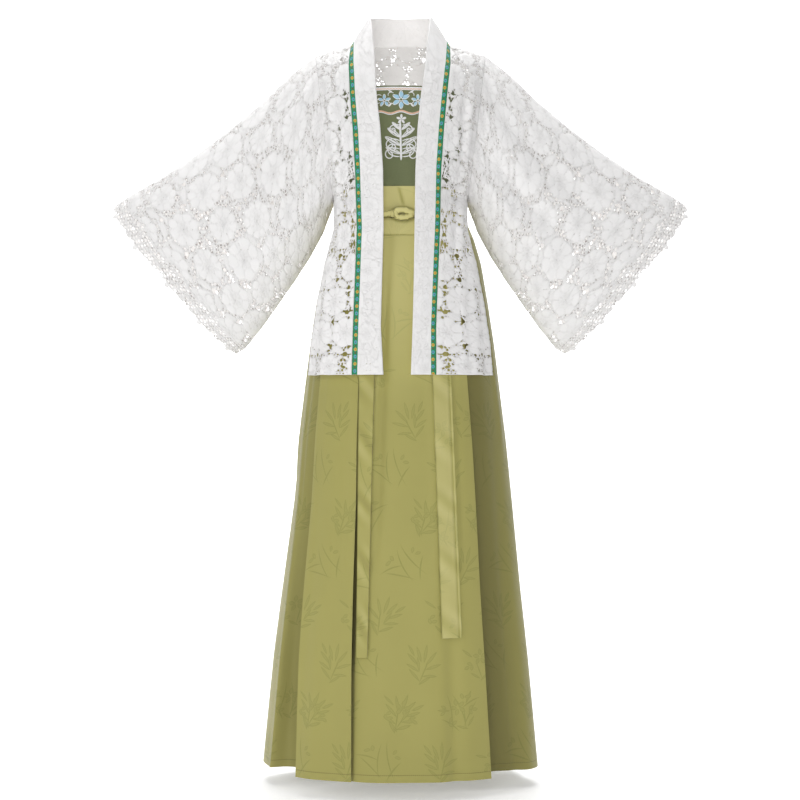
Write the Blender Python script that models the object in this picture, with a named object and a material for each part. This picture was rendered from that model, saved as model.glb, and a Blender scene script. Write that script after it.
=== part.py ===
"""A hanfu set in its worn, hollow form: an open lace jacket with wide sleeves, a wrapped chest top, and a
wrap skirt with its waistband, belt and two hanging ties.

Metres, +Z up. The front faces -Y, and +X is the wearer's left. The origin lies between the shoulders, at
the height of the points where the shoulders meet the neck."""

import math

import bmesh
import bpy
import numpy as np

SEAM_GAP = 0.0003
LACE_WALL = 0.0015
BAND_WALL = 0.0018
CLOTH_WALL = 0.0015
RIBBON_WALL = 0.001
BELT_WALL = 0.002

# The jacket's body: heights are drops below the neck point, measured down the cloth's fall.
JACKET_LENGTH = 0.582
NECK_HALF = 0.086
NECK_BACK_DEPTH = 0.062
NECK_BACK_RISE = 0.034
SHOULDER_TIP = (0.150, -0.017)
UNDERARM = (0.118, -0.275)
ARMHOLE_DEPTH = 0.058
SHOULDER_ROLL = 0.100
RIDGE_START = 0.0004
FRONT_COLUMNS = 4
NECK_COLUMNS = 7
COLLAR_HALF = 0.053
COLLAR_RISE = 0.052
COLLAR_FADE = 0.045
COLLAR_BACK_LEAN = 0.80
COLLAR_BACK_DIP = 0.004
COLLAR_FOOT = -0.045
RIBBON_WIDTH = 0.011

# The lace repeat: a cell of the cloth is about this wide and long, and a flower spans two cells. A gap's
# radius is a share of the cell, and its place in the cell is as far from the flowers round it as can be.
LACE_CELL = 0.0275
GAP_RADIUS = 0.165
GAP_UPWARD = 0.25
GAP_DOWNWARD = 0.75

# The skirt and the band above it.
BAND_TOP = -0.256
BELT_TOP = -0.2965
BELT_FOOT = -0.3120
BAND_FOOT = -0.342
SKIRT_HEM = -1.269
SKIRT_ROWS = (BAND_FOOT - SEAM_GAP, -0.40, -0.47, -0.56, -0.68, -0.82, -0.97, -1.12, SKIRT_HEM)
TUCK_DEPTH = 0.0026
TUCK_FLAT = 9.0
TUCK_RAMP = 12.0
CHEST_TOP_EDGE = -0.0825
RING_COLUMNS = 40

# z, half depth of the front, half depth of the back, and half width where the sides hang free.
JACKET_SECTIONS = {
    "z": (-0.100, -0.180, -0.275, -0.300, -0.331, -0.384, -0.457, -0.529, -0.582),
    "front": (0.108, 0.114, 0.118, 0.119, 0.121, 0.125, 0.132, 0.139, 0.145),
    "back": (0.099, 0.101, 0.0975, 0.0968, 0.0984, 0.1095, 0.122, 0.132, 0.138),
    "half": (0.118, 0.118, 0.118, 0.127, 0.138, 0.149, 0.161, 0.172, 0.179),
    "edge": (0.118, 0.118, 0.118, 0.1165, 0.1165, 0.131, 0.1455, 0.156, 0.160),
}

# drop, the opening's edge and the ribbon's centre line, on the wearer's right (r) and left (l).
FRONT_EDGES = {
    "drop": (0.000, 0.045, 0.100, 0.160, 0.230, 0.330, 0.420, 0.500, 0.582),
    "open_r": (0.0530, 0.0450, 0.0410, 0.0345, 0.0300, 0.0290, 0.0315, 0.0335, 0.0290),
    "open_l": (0.0530, 0.0440, 0.0350, 0.0290, 0.0255, 0.0240, 0.0225, 0.0205, 0.0175),
    "trim_r": (0.0805, 0.0840, 0.0815, 0.0765, 0.0725, 0.0693, 0.0725, 0.0755, 0.0776),
    "trim_l": (0.0805, 0.0805, 0.0745, 0.0690, 0.0642, 0.0622, 0.0583, 0.0550, 0.0552),
}

# z, half width, half depth and sideways shift of the skirt and of the band.
SKIRT_SECTIONS = {
    "z": (-0.256, -0.2965, -0.312, -0.342, -0.384, -0.457, -0.529, -0.696, -0.802, -0.949, -1.080, -1.269),
    "half": (0.103, 0.110, 0.114, 0.1245, 0.1380, 0.1510, 0.1615, 0.1814, 0.1910, 0.2067, 0.2213, 0.2386),
    "deep": (0.088, 0.092, 0.094, 0.099, 0.105, 0.115, 0.124, 0.138, 0.144, 0.152, 0.159, 0.169),
    "shift": (0.002, 0.003, 0.0035, 0.0055, 0.0045, 0.004, 0.004, 0.0035, 0.0034, 0.0004, -0.001, -0.0016),
}

# z, half width and half depth of the chest top above the band.
CHEST_SECTIONS = {
    "z": (CHEST_TOP_EDGE, -0.125, -0.170, -0.215),
    "half": (0.112, 0.112, 0.109, 0.105),
    "deep": (0.086, 0.092, 0.0925, 0.0895),
}

# Skirt folds: the angle from the front in degrees, half width in degrees, depth at the hem, starting height.
BACK_FOLDS = {
    "angle": (62, 84, 106, 127, 149, 170, 193, 214, 236, 257, 278, 297),
    "width": (7, 8, 7, 8, 8, 7, 8, 8, 7, 8, 8, 6),
    "depth": (-0.010, 0.006, -0.009, 0.010, -0.011, 0.009, -0.010, 0.011, -0.009, 0.010, -0.007, -0.006),
    "start": (-0.50, -0.45, -0.42, -0.48, -0.40, -0.45, -0.42, -0.46, -0.40, -0.44, -0.50, -0.60),
}
# Where the side panels hang back behind the front ones: the angle where this is full, the span in degrees over
# which it fades round the side, how far back at the hem, and the starting height.
SIDE_RECESS = {
    "angle": (40, 312),
    "span": (38, 36),
    "depth": (0.056, 0.078),
    "start": (-0.45, -0.45),
}
FRONT_FOLDS = {
    "angle": (-25, 4, 24),
    "width": (4.5, 9, 4),
    "depth": (-0.014, -0.004, -0.006),
    "start": (-0.55, -0.50, -0.60),
}
OVER_FOLDS = {
    "angle": (-52, -40),
    "width": (3, 6),
    "depth": (0.004, 0.003),
    "start": (-0.40, -0.70),
}

# One row along the sleeve: how far along, then the upper and the lower outline across and in height.
SLEEVE_OUTLINE = {
    "along": (0.00, 0.14, 0.28, 0.42, 0.56, 0.71, 0.86, 1.00),
    "top_x": (0.150, 0.193, 0.2434, 0.2993, 0.3586, 0.4241, 0.4840, 0.5217),
    "top_z": (-0.017, -0.050, -0.0985, -0.1450, -0.1901, -0.2334, -0.2672, -0.2932),
    "low_x": (0.118, 0.137, 0.160, 0.187, 0.2137, 0.2451, 0.2755, 0.3021),
    "low_z": (-0.275, -0.327, -0.370, -0.412, -0.4505, -0.4946, -0.5330, -0.5500),
    "deep": (0.058, 0.056, 0.052, 0.048, 0.044, 0.040, 0.037, 0.035),
}
CUFF_ROUNDING = 0.048
SLEEVE_ROWS = 15
SLEEVE_COLUMNS = 11
FOLD_CROWDING = 0.4

TIES = {
    "name": ("tie_right", "tie_left"),
    "x_top": (-0.053, 0.060),
    "x_foot": (-0.0655, 0.0875),
    "width_top": (0.031, 0.031),
    "width_foot": (0.019, 0.034),
    "foot": (-1.060, -1.028),
}
TIE_ROWS = 14
TIE_CLEAR = 0.0006

KNOT_CENTRE = (0.0035, -0.3045)
KNOT_HALF = (0.0155, 0.0085)
KNOT_STRAND = (0.0042, 0.0034)
KNOT_TILT = -0.20

COLOURS = {
    "lace": ((0.84, 0.83, 0.825), 0.85),
    "ribbon": ((0.045, 0.30, 0.17), 0.55),
    "chest": ((0.115, 0.155, 0.070), 0.80),
    "olive": ((0.44, 0.41, 0.125), 0.70),
    "olive_shade": ((0.36, 0.33, 0.10), 0.72),
}


def column(table, name, at):
    """A column of a table, read at heights or distances by straight steps between its rows."""
    where = np.asarray(table[next(iter(table))], float)
    values = np.asarray(table[name], float)
    order = np.argsort(where)
    return np.interp(at, where[order], values[order])


def smooth_step(x):
    """0 below 0, 1 above 1, and an S between."""
    x = np.clip(x, 0.0, 1.0)
    return x * x * (3.0 - 2.0 * x)


def grid_normals(points, ring, core):
    """Unit normals of a grid of points, facing away from the core."""
    down = np.gradient(points, axis=0)
    if ring:
        across = (np.roll(points, -1, axis=1) - np.roll(points, 1, axis=1)) / 2
    else:
        across = np.gradient(points, axis=1)
    normals = np.cross(down, across)
    normals /= np.linalg.norm(normals, axis=2, keepdims=True)
    facing = np.sign(np.sum(normals * (points - core)))
    return normals * facing


def moved_in(points, normals, distance, seams):
    """The points moved inwards. On an edge named in seams the move stays in that edge's seam plane."""
    shift = -normals * distance
    edges = {
        "first_row": np.s_[0, :],
        "last_row": np.s_[-1, :],
        "first_column": np.s_[:, 0],
        "last_column": np.s_[:, -1],
    }
    for edge, plane in seams.items():
        plane = np.asarray(plane, float) / np.linalg.norm(plane)
        part = shift[edges[edge]]
        part = part - np.outer(part @ plane, plane)
        part *= distance / np.linalg.norm(part, axis=1, keepdims=True)
        shift[edges[edge]] = part
    return points + shift


def wall_mesh(name, outer, inner, ring=False, gaps=None):
    """A closed wall between two grids of points. gaps maps a cell to the corners of the hole cut in it,
    as fractions of the cell down and across."""
    rows, columns = outer.shape[:2]
    gaps = gaps or {}
    points = [*outer.reshape(-1, 3), *inner.reshape(-1, 3)]
    half = rows * columns
    faces = []

    def corner(row, col, side):
        return side * half + row * columns + col % columns

    def quad(a, b, c, d):
        faces.append((a, b, c))
        faces.append((a, c, d))

    for row in range(rows - 1):
        for col in range(columns if ring else columns - 1):
            around = ((row, col), (row + 1, col), (row + 1, col + 1), (row, col + 1))
            sides = [[corner(r, c, side) for r, c in around] for side in (0, 1)]
            hole = gaps.get((row, col))
            if hole is None:
                quad(*sides[0])
                quad(*reversed(sides[1][1:] + sides[1][:1]))
                continue
            rims = []
            for side in sides:
                corners = np.array([points[k] for k in side])
                rim = []
                for down, over in hole:
                    shares = ((1 - down) * (1 - over), down * (1 - over), down * over, (1 - down) * over)
                    rim.append(len(points))
                    points.append(np.asarray(shares) @ corners)
                rims.append(rim)
            for k in range(4):
                n = (k + 1) % 4
                quad(sides[0][k], sides[0][n], rims[0][n], rims[0][k])
                quad(sides[1][n], sides[1][k], rims[1][k], rims[1][n])
                quad(rims[0][k], rims[0][n], rims[1][n], rims[1][k])

    for col in range(columns if ring else columns - 1):
        quad(corner(0, col, 0), corner(0, col + 1, 0), corner(0, col + 1, 1), corner(0, col, 1))
        last = rows - 1
        quad(corner(last, col + 1, 0), corner(last, col, 0), corner(last, col, 1), corner(last, col + 1, 1))
    if not ring:
        for row in range(rows - 1):
            quad(corner(row + 1, 0, 0), corner(row, 0, 0), corner(row, 0, 1), corner(row + 1, 0, 1))
            last = columns - 1
            quad(corner(row, last, 0), corner(row + 1, last, 0), corner(row + 1, last, 1), corner(row, last, 1))
    return finished_mesh(name, points, faces)


def finished_mesh(name, points, faces):
    """A smooth-shaded mesh with its faces turned outwards."""
    mesh = bpy.data.meshes.new(name)
    mesh.from_pydata([tuple(map(float, p)) for p in points], [], faces)
    shape = bmesh.new()
    shape.from_mesh(mesh)
    bmesh.ops.recalc_face_normals(shape, faces=shape.faces)
    shape.to_mesh(mesh)
    shape.free()
    mesh.shade_smooth()
    mesh.set_sharp_from_angle(angle=math.radians(40))
    return mesh


def add_piece(mesh, colour):
    """Puts a mesh in the scene as a named sub-part with its own material."""
    (red, green, blue), roughness = COLOURS[colour]
    material = bpy.data.materials.new(f"{mesh.name}_{colour}")
    material.use_nodes = True
    shader = material.node_tree.nodes["Principled BSDF"]
    shader.inputs["Base Color"].default_value = (red, green, blue, 1.0)
    shader.inputs["Roughness"].default_value = roughness
    shader.inputs["Metallic"].default_value = 0.0
    mesh.materials.append(material)
    piece = bpy.data.objects.new(mesh.name, mesh)
    bpy.context.scene.collection.objects.link(piece)
    return piece


def lace_gaps(rows, columns, both_kinds):
    """The gaps of a panel of lace. Flowers two cells across lie in staggered rows, two cells apart, and a
    gap lies between each three flowers, pointing up or down. Plain stretches keep one kind of the two."""
    gaps = {}
    for row in range(1, rows - 2, 2):
        stagger = (row // 2) % 2
        for col in range(columns - 1):
            pointing_up = (col + stagger) % 2 == 1
            if not (pointing_up or both_kinds):
                continue
            down = GAP_UPWARD if pointing_up else GAP_DOWNWARD
            first = 1.25 * math.pi + 0.3 * math.sin(0.9 * col + 1.7 * row)
            radius = GAP_RADIUS * (0.92 + 0.08 * math.sin(2.3 * col + row))
            corners = []
            for k in range(4):
                angle = first + k * math.pi / 2
                corners.append((down + radius * math.cos(angle), 0.5 + radius * math.sin(angle)))
            gaps[row, col] = corners
    return gaps


# The jacket's body


def roll_length(depth):
    """The length of the cloth that rolls from the shoulder's ridge to the flat of the chest."""
    return math.pi / 2 * math.sqrt((depth**2 + SHOULDER_ROLL**2) / 2)


def drop_at(length, roll):
    """How far down the cloth lies after a length of it, over a shoulder's quarter ellipse and then straight."""
    angle = np.clip(length / roll, 0, 1) * math.pi / 2
    return SHOULDER_ROLL * (1 - np.cos(angle)) + np.maximum(length - roll, 0)


def jacket_point(across_top, x_share, drop, side):
    """A point of the jacket's surface. side is -1 in front and 1 behind. x_share is x over the half width
    to the armhole or side edge, and across_top is the height of the shoulder's ridge there."""
    tip_x, tip_z = SHOULDER_TIP
    under_x, under_z = UNDERARM
    arm_drop = (tip_z - under_z) / (1 + tip_z / JACKET_LENGTH)
    z = across_top * (1 - drop / JACKET_LENGTH) - drop
    level = -np.asarray(drop, float)
    deep = column(JACKET_SECTIONS, "front" if side < 0 else "back", level)
    fall = np.clip(1 - drop / SHOULDER_ROLL, 0, 1)
    deep = deep * np.sqrt(1 - fall**2)
    share = np.clip(drop / arm_drop, 0, 1)
    above = drop < arm_drop
    edge = np.where(above, tip_x + (under_x - tip_x) * share, column(JACKET_SECTIONS, "edge", z))
    arm_deep = ARMHOLE_DEPTH * np.sqrt(np.maximum(1 - (1 - 2 * share) ** 2, 0))
    with_arm = edge / np.sqrt(np.maximum(1 - (arm_deep / np.maximum(deep, 1e-9)) ** 2, 1e-6))
    half = np.where(above, with_arm, np.maximum(column(JACKET_SECTIONS, "half", z), edge))
    x = x_share(edge)
    y = side * deep * np.sqrt(np.maximum(1 - (x / half) ** 2, 0))
    return np.stack(np.broadcast_arrays(x, y, z), axis=-1)


def ridge_height(x):
    """The height of the shoulder's ridge, from the neck out to the tip, and of the neck's back between."""
    tip_x, tip_z = SHOULDER_TIP
    outside = tip_z * (np.abs(x) - NECK_HALF) / (tip_x - NECK_HALF)
    inside = NECK_BACK_RISE * (1 - (x / NECK_HALF) ** 2)
    return np.where(np.abs(x) < NECK_HALF, inside, outside)


def length_rows(start, roll, foot):
    """Lengths of cloth for each row, from a start near the ridge to the hem, with one row at the underarm."""
    tip_z, under_z = SHOULDER_TIP[1], UNDERARM[1]
    arm_drop = (tip_z - under_z) / (1 + tip_z / JACKET_LENGTH)
    arm_length = roll + arm_drop - SHOULDER_ROLL
    upper = np.linspace(0, 1, round(arm_length / LACE_CELL) + 1)
    lower = np.linspace(arm_length, roll + foot - SHOULDER_ROLL, round((foot - arm_drop) / LACE_CELL) + 1)
    top = start[None, :] + (arm_length - start[None, :]) * upper[:, None]
    return np.concatenate([top, np.broadcast_to(lower[1:, None], (len(lower) - 1, len(start)))])


def seam_x(drop, side):
    """The seam between the neckband and the front, half a ribbon outside the ribbon's centre line."""
    return column(FRONT_EDGES, "trim_r" if side < 0 else "trim_l", drop) + RIBBON_WIDTH / 2


def front_drops():
    roll = roll_length(JACKET_SECTIONS["front"][0])
    start = roll * 2 / math.pi * math.asin(RIDGE_START / JACKET_SECTIONS["front"][0])
    return drop_at(length_rows(np.array([start]), roll, JACKET_LENGTH)[:, 0], roll)


def core_of(points):
    """The upright axis at each point's own height."""
    return points * (0, 0, 1)


def armhole_plane(side):
    """The normal of the plane in which a sleeve is sewn to the body."""
    run = UNDERARM[0] - SHOULDER_TIP[0]
    fall = UNDERARM[1] - SHOULDER_TIP[1]
    return (-fall * side, 0.0, run)


def build_front(name, side):
    """One front, from the neckband's seam out to the armhole and the open side."""
    drops = front_drops()
    share = np.linspace(0, 1, FRONT_COLUMNS)[None, :]
    drop = np.broadcast_to(drops[:, None], (len(drops), FRONT_COLUMNS))
    seam = seam_x(drop, side) + SEAM_GAP

    def x_share(edge):
        return seam + (edge - SEAM_GAP / 2 - seam) * share

    ridge = SHOULDER_TIP[1] * np.broadcast_to(share, drop.shape)
    points = jacket_point(ridge, x_share, drop, -1) * (side, 1, 1)
    normals = grid_normals(points, False, core_of(points))
    seams = {"first_row": (0, 1, 0), "last_row": (0, 0, 1)}
    inner = moved_in(points, normals, LACE_WALL, seams)
    inner = in_armhole_plane(points, inner, side, FRONT_COLUMNS - 1)
    inner = in_band_seam(points, inner)
    gaps = lace_gaps(len(drops), FRONT_COLUMNS, both_kinds=True)
    add_piece(wall_mesh(name, points, inner, gaps=gaps), "lace")


def in_armhole_plane(points, inner, side, col):
    """Slides the inner points of an armhole edge sideways into the armhole's plane, down to the underarm."""
    plane = np.array(armhole_plane(side))
    plane /= np.linalg.norm(plane)
    shift = inner[:, col] - points[:, col]
    off = shift @ plane
    above = points[:, col, 2] > UNDERARM[1] - 0.001
    inner = inner.copy()
    inner[:, col] -= np.where(above, off, 0)[:, None] * plane
    return inner


def in_band_seam(points, inner):
    """Keeps the inner points of a front's first column, or of the band's, straight behind the outer ones."""
    inner = inner.copy()
    below = points[:, 0, 2] < COLLAR_FOOT
    inner[below, 0, 0] = points[below, 0, 0]
    return inner


def back_columns():
    """x over the half width for each column of the back, with one at each side of the neck."""
    neck = NECK_HALF / SHOULDER_TIP[0]
    outer = np.linspace(neck, 1, FRONT_COLUMNS)
    return np.concatenate([-outer[::-1], np.linspace(-neck, neck, NECK_COLUMNS)[1:-1], outer])


def build_back():
    """The back, in one piece from side to side, with the neck hollowed out."""
    shares = back_columns()
    depth = JACKET_SECTIONS["back"][0]
    roll = roll_length(depth)
    top_x = shares * SHOULDER_TIP[0]
    neck_y = NECK_BACK_DEPTH * np.sqrt(np.maximum(1 - (top_x / NECK_HALF) ** 2, 0))
    start = roll * 2 / math.pi * np.arcsin(np.maximum(neck_y, RIDGE_START) / depth)
    drop = drop_at(length_rows(start, roll, JACKET_LENGTH), roll)
    sign_share = np.broadcast_to(shares, drop.shape)

    def x_share(edge):
        return (edge - SEAM_GAP / 2) * sign_share

    ridge = np.broadcast_to(ridge_height(top_x), drop.shape)
    points = jacket_point(ridge, x_share, drop, 1)
    normals = grid_normals(points, False, core_of(points))
    inner = moved_in(points, normals, LACE_WALL, {"last_row": (0, 0, 1)})
    for col in np.flatnonzero(np.abs(top_x) >= NECK_HALF - 1e-6):
        inner[0, col, 1] = points[0, col, 1]
    inner = in_armhole_plane(points, inner, -1, 0)
    inner = in_armhole_plane(points, inner, 1, len(shares) - 1)
    gaps = lace_gaps(len(drop), len(shares), both_kinds=False)
    add_piece(wall_mesh("jacket_back", points, inner, gaps=gaps), "lace")
    neck = np.abs(top_x) <= NECK_HALF + 1e-6
    return points[0, neck]


# The neckband and its ribbon


def collar_edges(back_neck):
    """The neckband's seam edge and its free edge, from the right front's hem round the neck to the left's."""
    drops = front_drops()
    fade = COLLAR_RISE * np.exp(-((drops / COLLAR_FADE) ** 2))
    fronts = []
    for side, name in ((-1, "open_r"), (1, "open_l")):
        seam = jacket_point(0.0, lambda edge: seam_x(drops, side) - SEAM_GAP, drops, -1)
        free = jacket_point(0.0, lambda edge: column(FRONT_EDGES, name, drops), drops, -1)
        free[:, 2] += fade
        fronts.append((seam * (side, 1, 1), free * (side, 1, 1)))
    inside = back_neck[1:-1]
    share = np.abs(inside[:, 0]) / NECK_HALF
    back_seam = inside + (0, -SEAM_GAP, SEAM_GAP)
    back_free = inside * (COLLAR_HALF / NECK_HALF, COLLAR_BACK_LEAN, 1)
    back_free[:, 2] += COLLAR_RISE - COLLAR_BACK_DIP * (1 - share)
    (right_seam, right_free), (left_seam, left_free) = fronts
    seam = np.concatenate([right_seam[::-1], back_seam, left_seam])
    free = np.concatenate([right_free[::-1], back_free, left_free])
    return seam, free


def build_neckband(back_neck):
    """The band, one long strip, and the woven ribbon sewn on along its seam edge."""
    seam, free = collar_edges(back_neck)
    width = np.linalg.norm(free - seam, axis=1, keepdims=True)
    trim = seam + (free - seam) * RIBBON_WIDTH / width
    points = np.stack([seam, trim, free], axis=1)
    core = points * (0.2, 0.3, 1.0)
    normals = grid_normals(points, False, core)
    seams = {"first_row": (0, 0, 1), "last_row": (0, 0, 1)}
    inner = in_band_seam(points, moved_in(points, normals, BAND_WALL, seams))
    add_piece(wall_mesh("neckband", points, inner), "lace")

    strip, facing = points[:, :2], normals[:, :2]
    under = moved_in(strip, -facing, SEAM_GAP, seams)
    over = moved_in(strip, -facing, SEAM_GAP + RIBBON_WALL, seams)
    add_piece(wall_mesh("neck_ribbon", over, under), "ribbon")


# The sleeves


def sleeve_point(along, share, half, side):
    """A point of a sleeve: along it, and from the top fold down to the lower fold, in front or behind."""
    corners = CUFF_ROUNDING * np.abs(2 * share - 1) ** 6
    reach = along * (1 - corners)
    top = np.stack([column(SLEEVE_OUTLINE, name, reach) for name in ("top_x", "top_z")])
    low = np.stack([column(SLEEVE_OUTLINE, name, reach) for name in ("low_x", "low_z")])
    deep = column(SLEEVE_OUTLINE, "deep", reach)
    x, z = top + (low - top) * share
    y = half * deep * np.sqrt(np.maximum(1 - (2 * share - 1) ** 2, 0))
    return np.stack([x * side, y, z], axis=-1)


def build_sleeve(name, side, half):
    """The front or back half of a sleeve. The halves meet along the top fold and the lower fold."""
    along = np.broadcast_to(np.linspace(0, 1, SLEEVE_ROWS)[:, None], (SLEEVE_ROWS, SLEEVE_COLUMNS))
    even = np.linspace(0, 1, SLEEVE_COLUMNS)
    crowded = 0.5 - 0.5 * np.cos(math.pi * even)
    share = even + (crowded - even) * FOLD_CROWDING
    points = sleeve_point(along, np.broadcast_to(share, along.shape), half, side)
    middle = sleeve_point(along, np.broadcast_to(0.5, along.shape), 0.0, side)
    normals = grid_normals(points, False, middle)
    plane = np.array(armhole_plane(side))
    plane /= np.linalg.norm(plane)
    points[:, 0, 1] = points[:, -1, 1] = half * SEAM_GAP / 2
    seams = {"first_column": (0, 1, 0), "last_column": (0, 1, 0)}
    inner = moved_in(points, normals, LACE_WALL, seams)
    shift = inner[0] - points[0]
    inner[0] -= np.outer(shift @ plane, plane)
    points += plane * SEAM_GAP / 2
    inner += plane * SEAM_GAP / 2
    gaps = lace_gaps(SLEEVE_ROWS, SLEEVE_COLUMNS, both_kinds=False)
    add_piece(wall_mesh(name, points, inner, gaps=gaps), "lace")


# The skirt, its band and the chest top


def oval(sections, z, angle, out=0.0):
    """A point on an oval section, with the angle measured from the front towards the wearer's left."""
    half = column(sections, "half", z) + out
    deep = column(sections, "deep", z) + out
    shift = column(sections, "shift", z) if "shift" in sections else 0.0
    return np.stack(np.broadcast_arrays(shift + half * np.sin(angle), -deep * np.cos(angle), z), axis=-1)


def build_waist():
    """The chest top, tucked into the waistband, and the belt round the band."""
    angle = np.linspace(0, 2 * math.pi, RING_COLUMNS, endpoint=False)[None, :]
    levels = {"first_row": (0, 0, 1), "last_row": (0, 0, 1)}
    rows = np.array([BAND_TOP, BELT_TOP, BELT_FOOT, BAND_FOOT])[:, None]
    band = oval(SKIRT_SECTIONS, rows, angle)
    facing = grid_normals(band, True, core_of(band))
    facing[:, :, 2] = 0
    facing /= np.linalg.norm(facing, axis=2, keepdims=True)
    add_piece(wall_mesh("waistband", band, band - facing * CLOTH_WALL, ring=True), "olive")

    under = band[1:3] + facing[1:3] * SEAM_GAP
    over = under + facing[1:3] * BELT_WALL
    add_piece(wall_mesh("belt", over, under, ring=True), "olive")

    tucked = band[:2] - facing[:2] * (CLOTH_WALL + SEAM_GAP)
    above = oval(CHEST_SECTIONS, np.array(CHEST_SECTIONS["z"])[:, None], angle)
    chest = np.concatenate([above, tucked])
    normals = grid_normals(chest, True, core_of(chest))
    normals[-2:] = facing[:2]
    add_piece(wall_mesh("chest_top", chest, moved_in(chest, normals, CLOTH_WALL, levels), ring=True), "chest")


def fold_depth(folds, angle, z):
    """How far the folds push the cloth out or in: a soft ridge for each, growing down to the hem."""
    total = np.zeros(np.broadcast(angle, z).shape)
    for centre, width, depth, start in zip(*(folds[key] for key in ("angle", "width", "depth", "start"))):
        growth = smooth_step((start - z) / (start - SKIRT_HEM)) ** 0.8
        total = total + depth * growth * np.exp(-(((np.degrees(angle) - centre) / width) ** 2))
    return total


def tuck(angle, edge):
    """How far an edge lies in under the panel that laps it: flat near the edge, then rising to nothing."""
    away = np.abs(np.degrees(angle - edge))
    return TUCK_DEPTH * (1 - smooth_step((away - TUCK_FLAT) / TUCK_RAMP))


def recess_depth(angle, z):
    """How far back the side panels hang behind the front ones, growing down to the hem."""
    total = np.zeros(np.broadcast(angle, z).shape)
    for centre, span, depth, start in zip(*(SIDE_RECESS[key] for key in ("angle", "span", "depth", "start"))):
        growth = smooth_step((start - z) / (start - SKIRT_HEM))
        away = (np.degrees(angle) - centre) * (1 if centre < 180 else -1)
        total = total + depth * growth * (1 - smooth_step(away / span))
    return total


def build_skirt_panel(name, edges, columns, tucked, folds, colour):
    """A panel of the skirt between two edges, given as angles at the band and at the hem. tucked says
    which of its two edges lie under a neighbour."""
    z = np.array(SKIRT_ROWS)[:, None]
    down = (z - z[0]) / (z[-1] - z[0])
    first, last = (math.radians(top) + math.radians(foot - top) * down for top, foot in edges)
    angle = first + (last - first) * np.linspace(0, 1, columns)[None, :]
    z = np.broadcast_to(z, angle.shape)
    out = fold_depth(folds, angle, z)
    for under, edge in zip(tucked, (first, last)):
        out = out - under * tuck(angle, edge)
    points = oval(SKIRT_SECTIONS, z, angle, out)
    if name == "skirt_back":
        points[..., 1] += recess_depth(angle, z)
    normals = grid_normals(points, False, core_of(points))
    levels = {"first_row": (0, 0, 1), "last_row": (0, 0, 1)}
    inner = moved_in(points, normals, CLOTH_WALL, levels)
    add_piece(wall_mesh(name, points, inner), colour)


def build_tie(row):
    """A flat tie that starts over the belt and hangs down the skirt's front."""
    heights = np.concatenate([[BELT_TOP, BELT_FOOT], np.linspace(BAND_FOOT, TIES["foot"][row], TIE_ROWS)])
    down = (heights - heights[0]) / (heights[-1] - heights[0])
    middle = TIES["x_top"][row] + (TIES["x_foot"][row] - TIES["x_top"][row]) * down
    width = TIES["width_top"][row] + (TIES["width_foot"][row] - TIES["width_top"][row]) * down
    x = middle[:, None] + width[:, None] * np.linspace(-0.5, 0.5, 3)[None, :]
    z = np.broadcast_to(heights[:, None], x.shape)
    belt_share = smooth_step((z - BAND_FOOT) / (BELT_FOOT - BAND_FOOT))
    out = TIE_CLEAR + (SEAM_GAP + BELT_WALL) * belt_share + 0.0006 * (1 - belt_share)
    half = column(SKIRT_SECTIONS, "half", z) + out
    shift = column(SKIRT_SECTIONS, "shift", z)
    under = oval(SKIRT_SECTIONS, z, np.arcsin((x - shift) / half), out)
    normals = grid_normals(under, False, core_of(under))
    levels = {"first_row": (0, 0, 1), "last_row": (0, 0, 1)}
    over = moved_in(under, -normals, CLOTH_WALL, levels)
    add_piece(wall_mesh(TIES["name"][row], over, under), "olive")


def build_knot():
    """The belt's flat knot: one soft loop that lies on the belt, with a slot through its middle."""
    turns, sides = 20, 8
    turn = np.linspace(0, 2 * math.pi, turns, endpoint=False)[:, None]
    round_strand = np.linspace(0, 2 * math.pi, sides, endpoint=False)[None, :]
    high, thick = KNOT_STRAND
    reach = np.cos(round_strand) * high
    flat_x = (KNOT_HALF[0] + reach) * np.cos(turn)
    flat_z = (KNOT_HALF[1] + reach) * np.sin(turn)
    x = KNOT_CENTRE[0] + flat_x * math.cos(KNOT_TILT) - flat_z * math.sin(KNOT_TILT)
    z = KNOT_CENTRE[1] + flat_x * math.sin(KNOT_TILT) + flat_z * math.cos(KNOT_TILT)
    deep = column(SKIRT_SECTIONS, "deep", BELT_FOOT) + SEAM_GAP + BELT_WALL
    y = -(deep + 2 * SEAM_GAP + thick) + thick * np.sin(round_strand) + 0 * turn
    points = np.stack([x, y, z], axis=-1)
    faces = []
    for i in range(turns):
        for k in range(sides):
            a, b = i * sides + k, i * sides + (k + 1) % sides
            c, d = (a + sides) % (turns * sides), (b + sides) % (turns * sides)
            faces.append((a, b, d, c))
    add_piece(finished_mesh("belt_knot", points.reshape(-1, 3), faces), "olive")


for old in list(bpy.data.objects):
    bpy.data.objects.remove(old)

neck_edge = build_back()
build_front("jacket_front_right", -1)
build_front("jacket_front_left", 1)
build_neckband(neck_edge)
for side_name, sign in (("right", -1), ("left", 1)):
    build_sleeve(f"sleeve_{side_name}_front", sign, -1)
    build_sleeve(f"sleeve_{side_name}_back", sign, 1)
build_waist()
build_skirt_panel("skirt_back", ((34, 35), (306, 317)), 44, (1, 1), BACK_FOLDS, "olive_shade")
build_skirt_panel("skirt_front", ((-36, -28), (41, 41)), 14, (1, 0), FRONT_FOLDS, "olive")
build_skirt_panel("skirt_front_right", ((-62, -48), (-29, -20)), 7, (0, 0), OVER_FOLDS, "olive")
for tie_row in range(len(TIES["name"])):
    build_tie(tie_row)
build_knot()
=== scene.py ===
"""The looks of a hanfu set: a white lace jacket with wide sleeves, a dark green chest top, and an olive wrap
skirt with its waistband, belt and two hanging ties, filled out as worn.

Metres, +Z up. The front faces -Y, and +X is the wearer's left."""

import math
from functools import partialmethod

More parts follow.
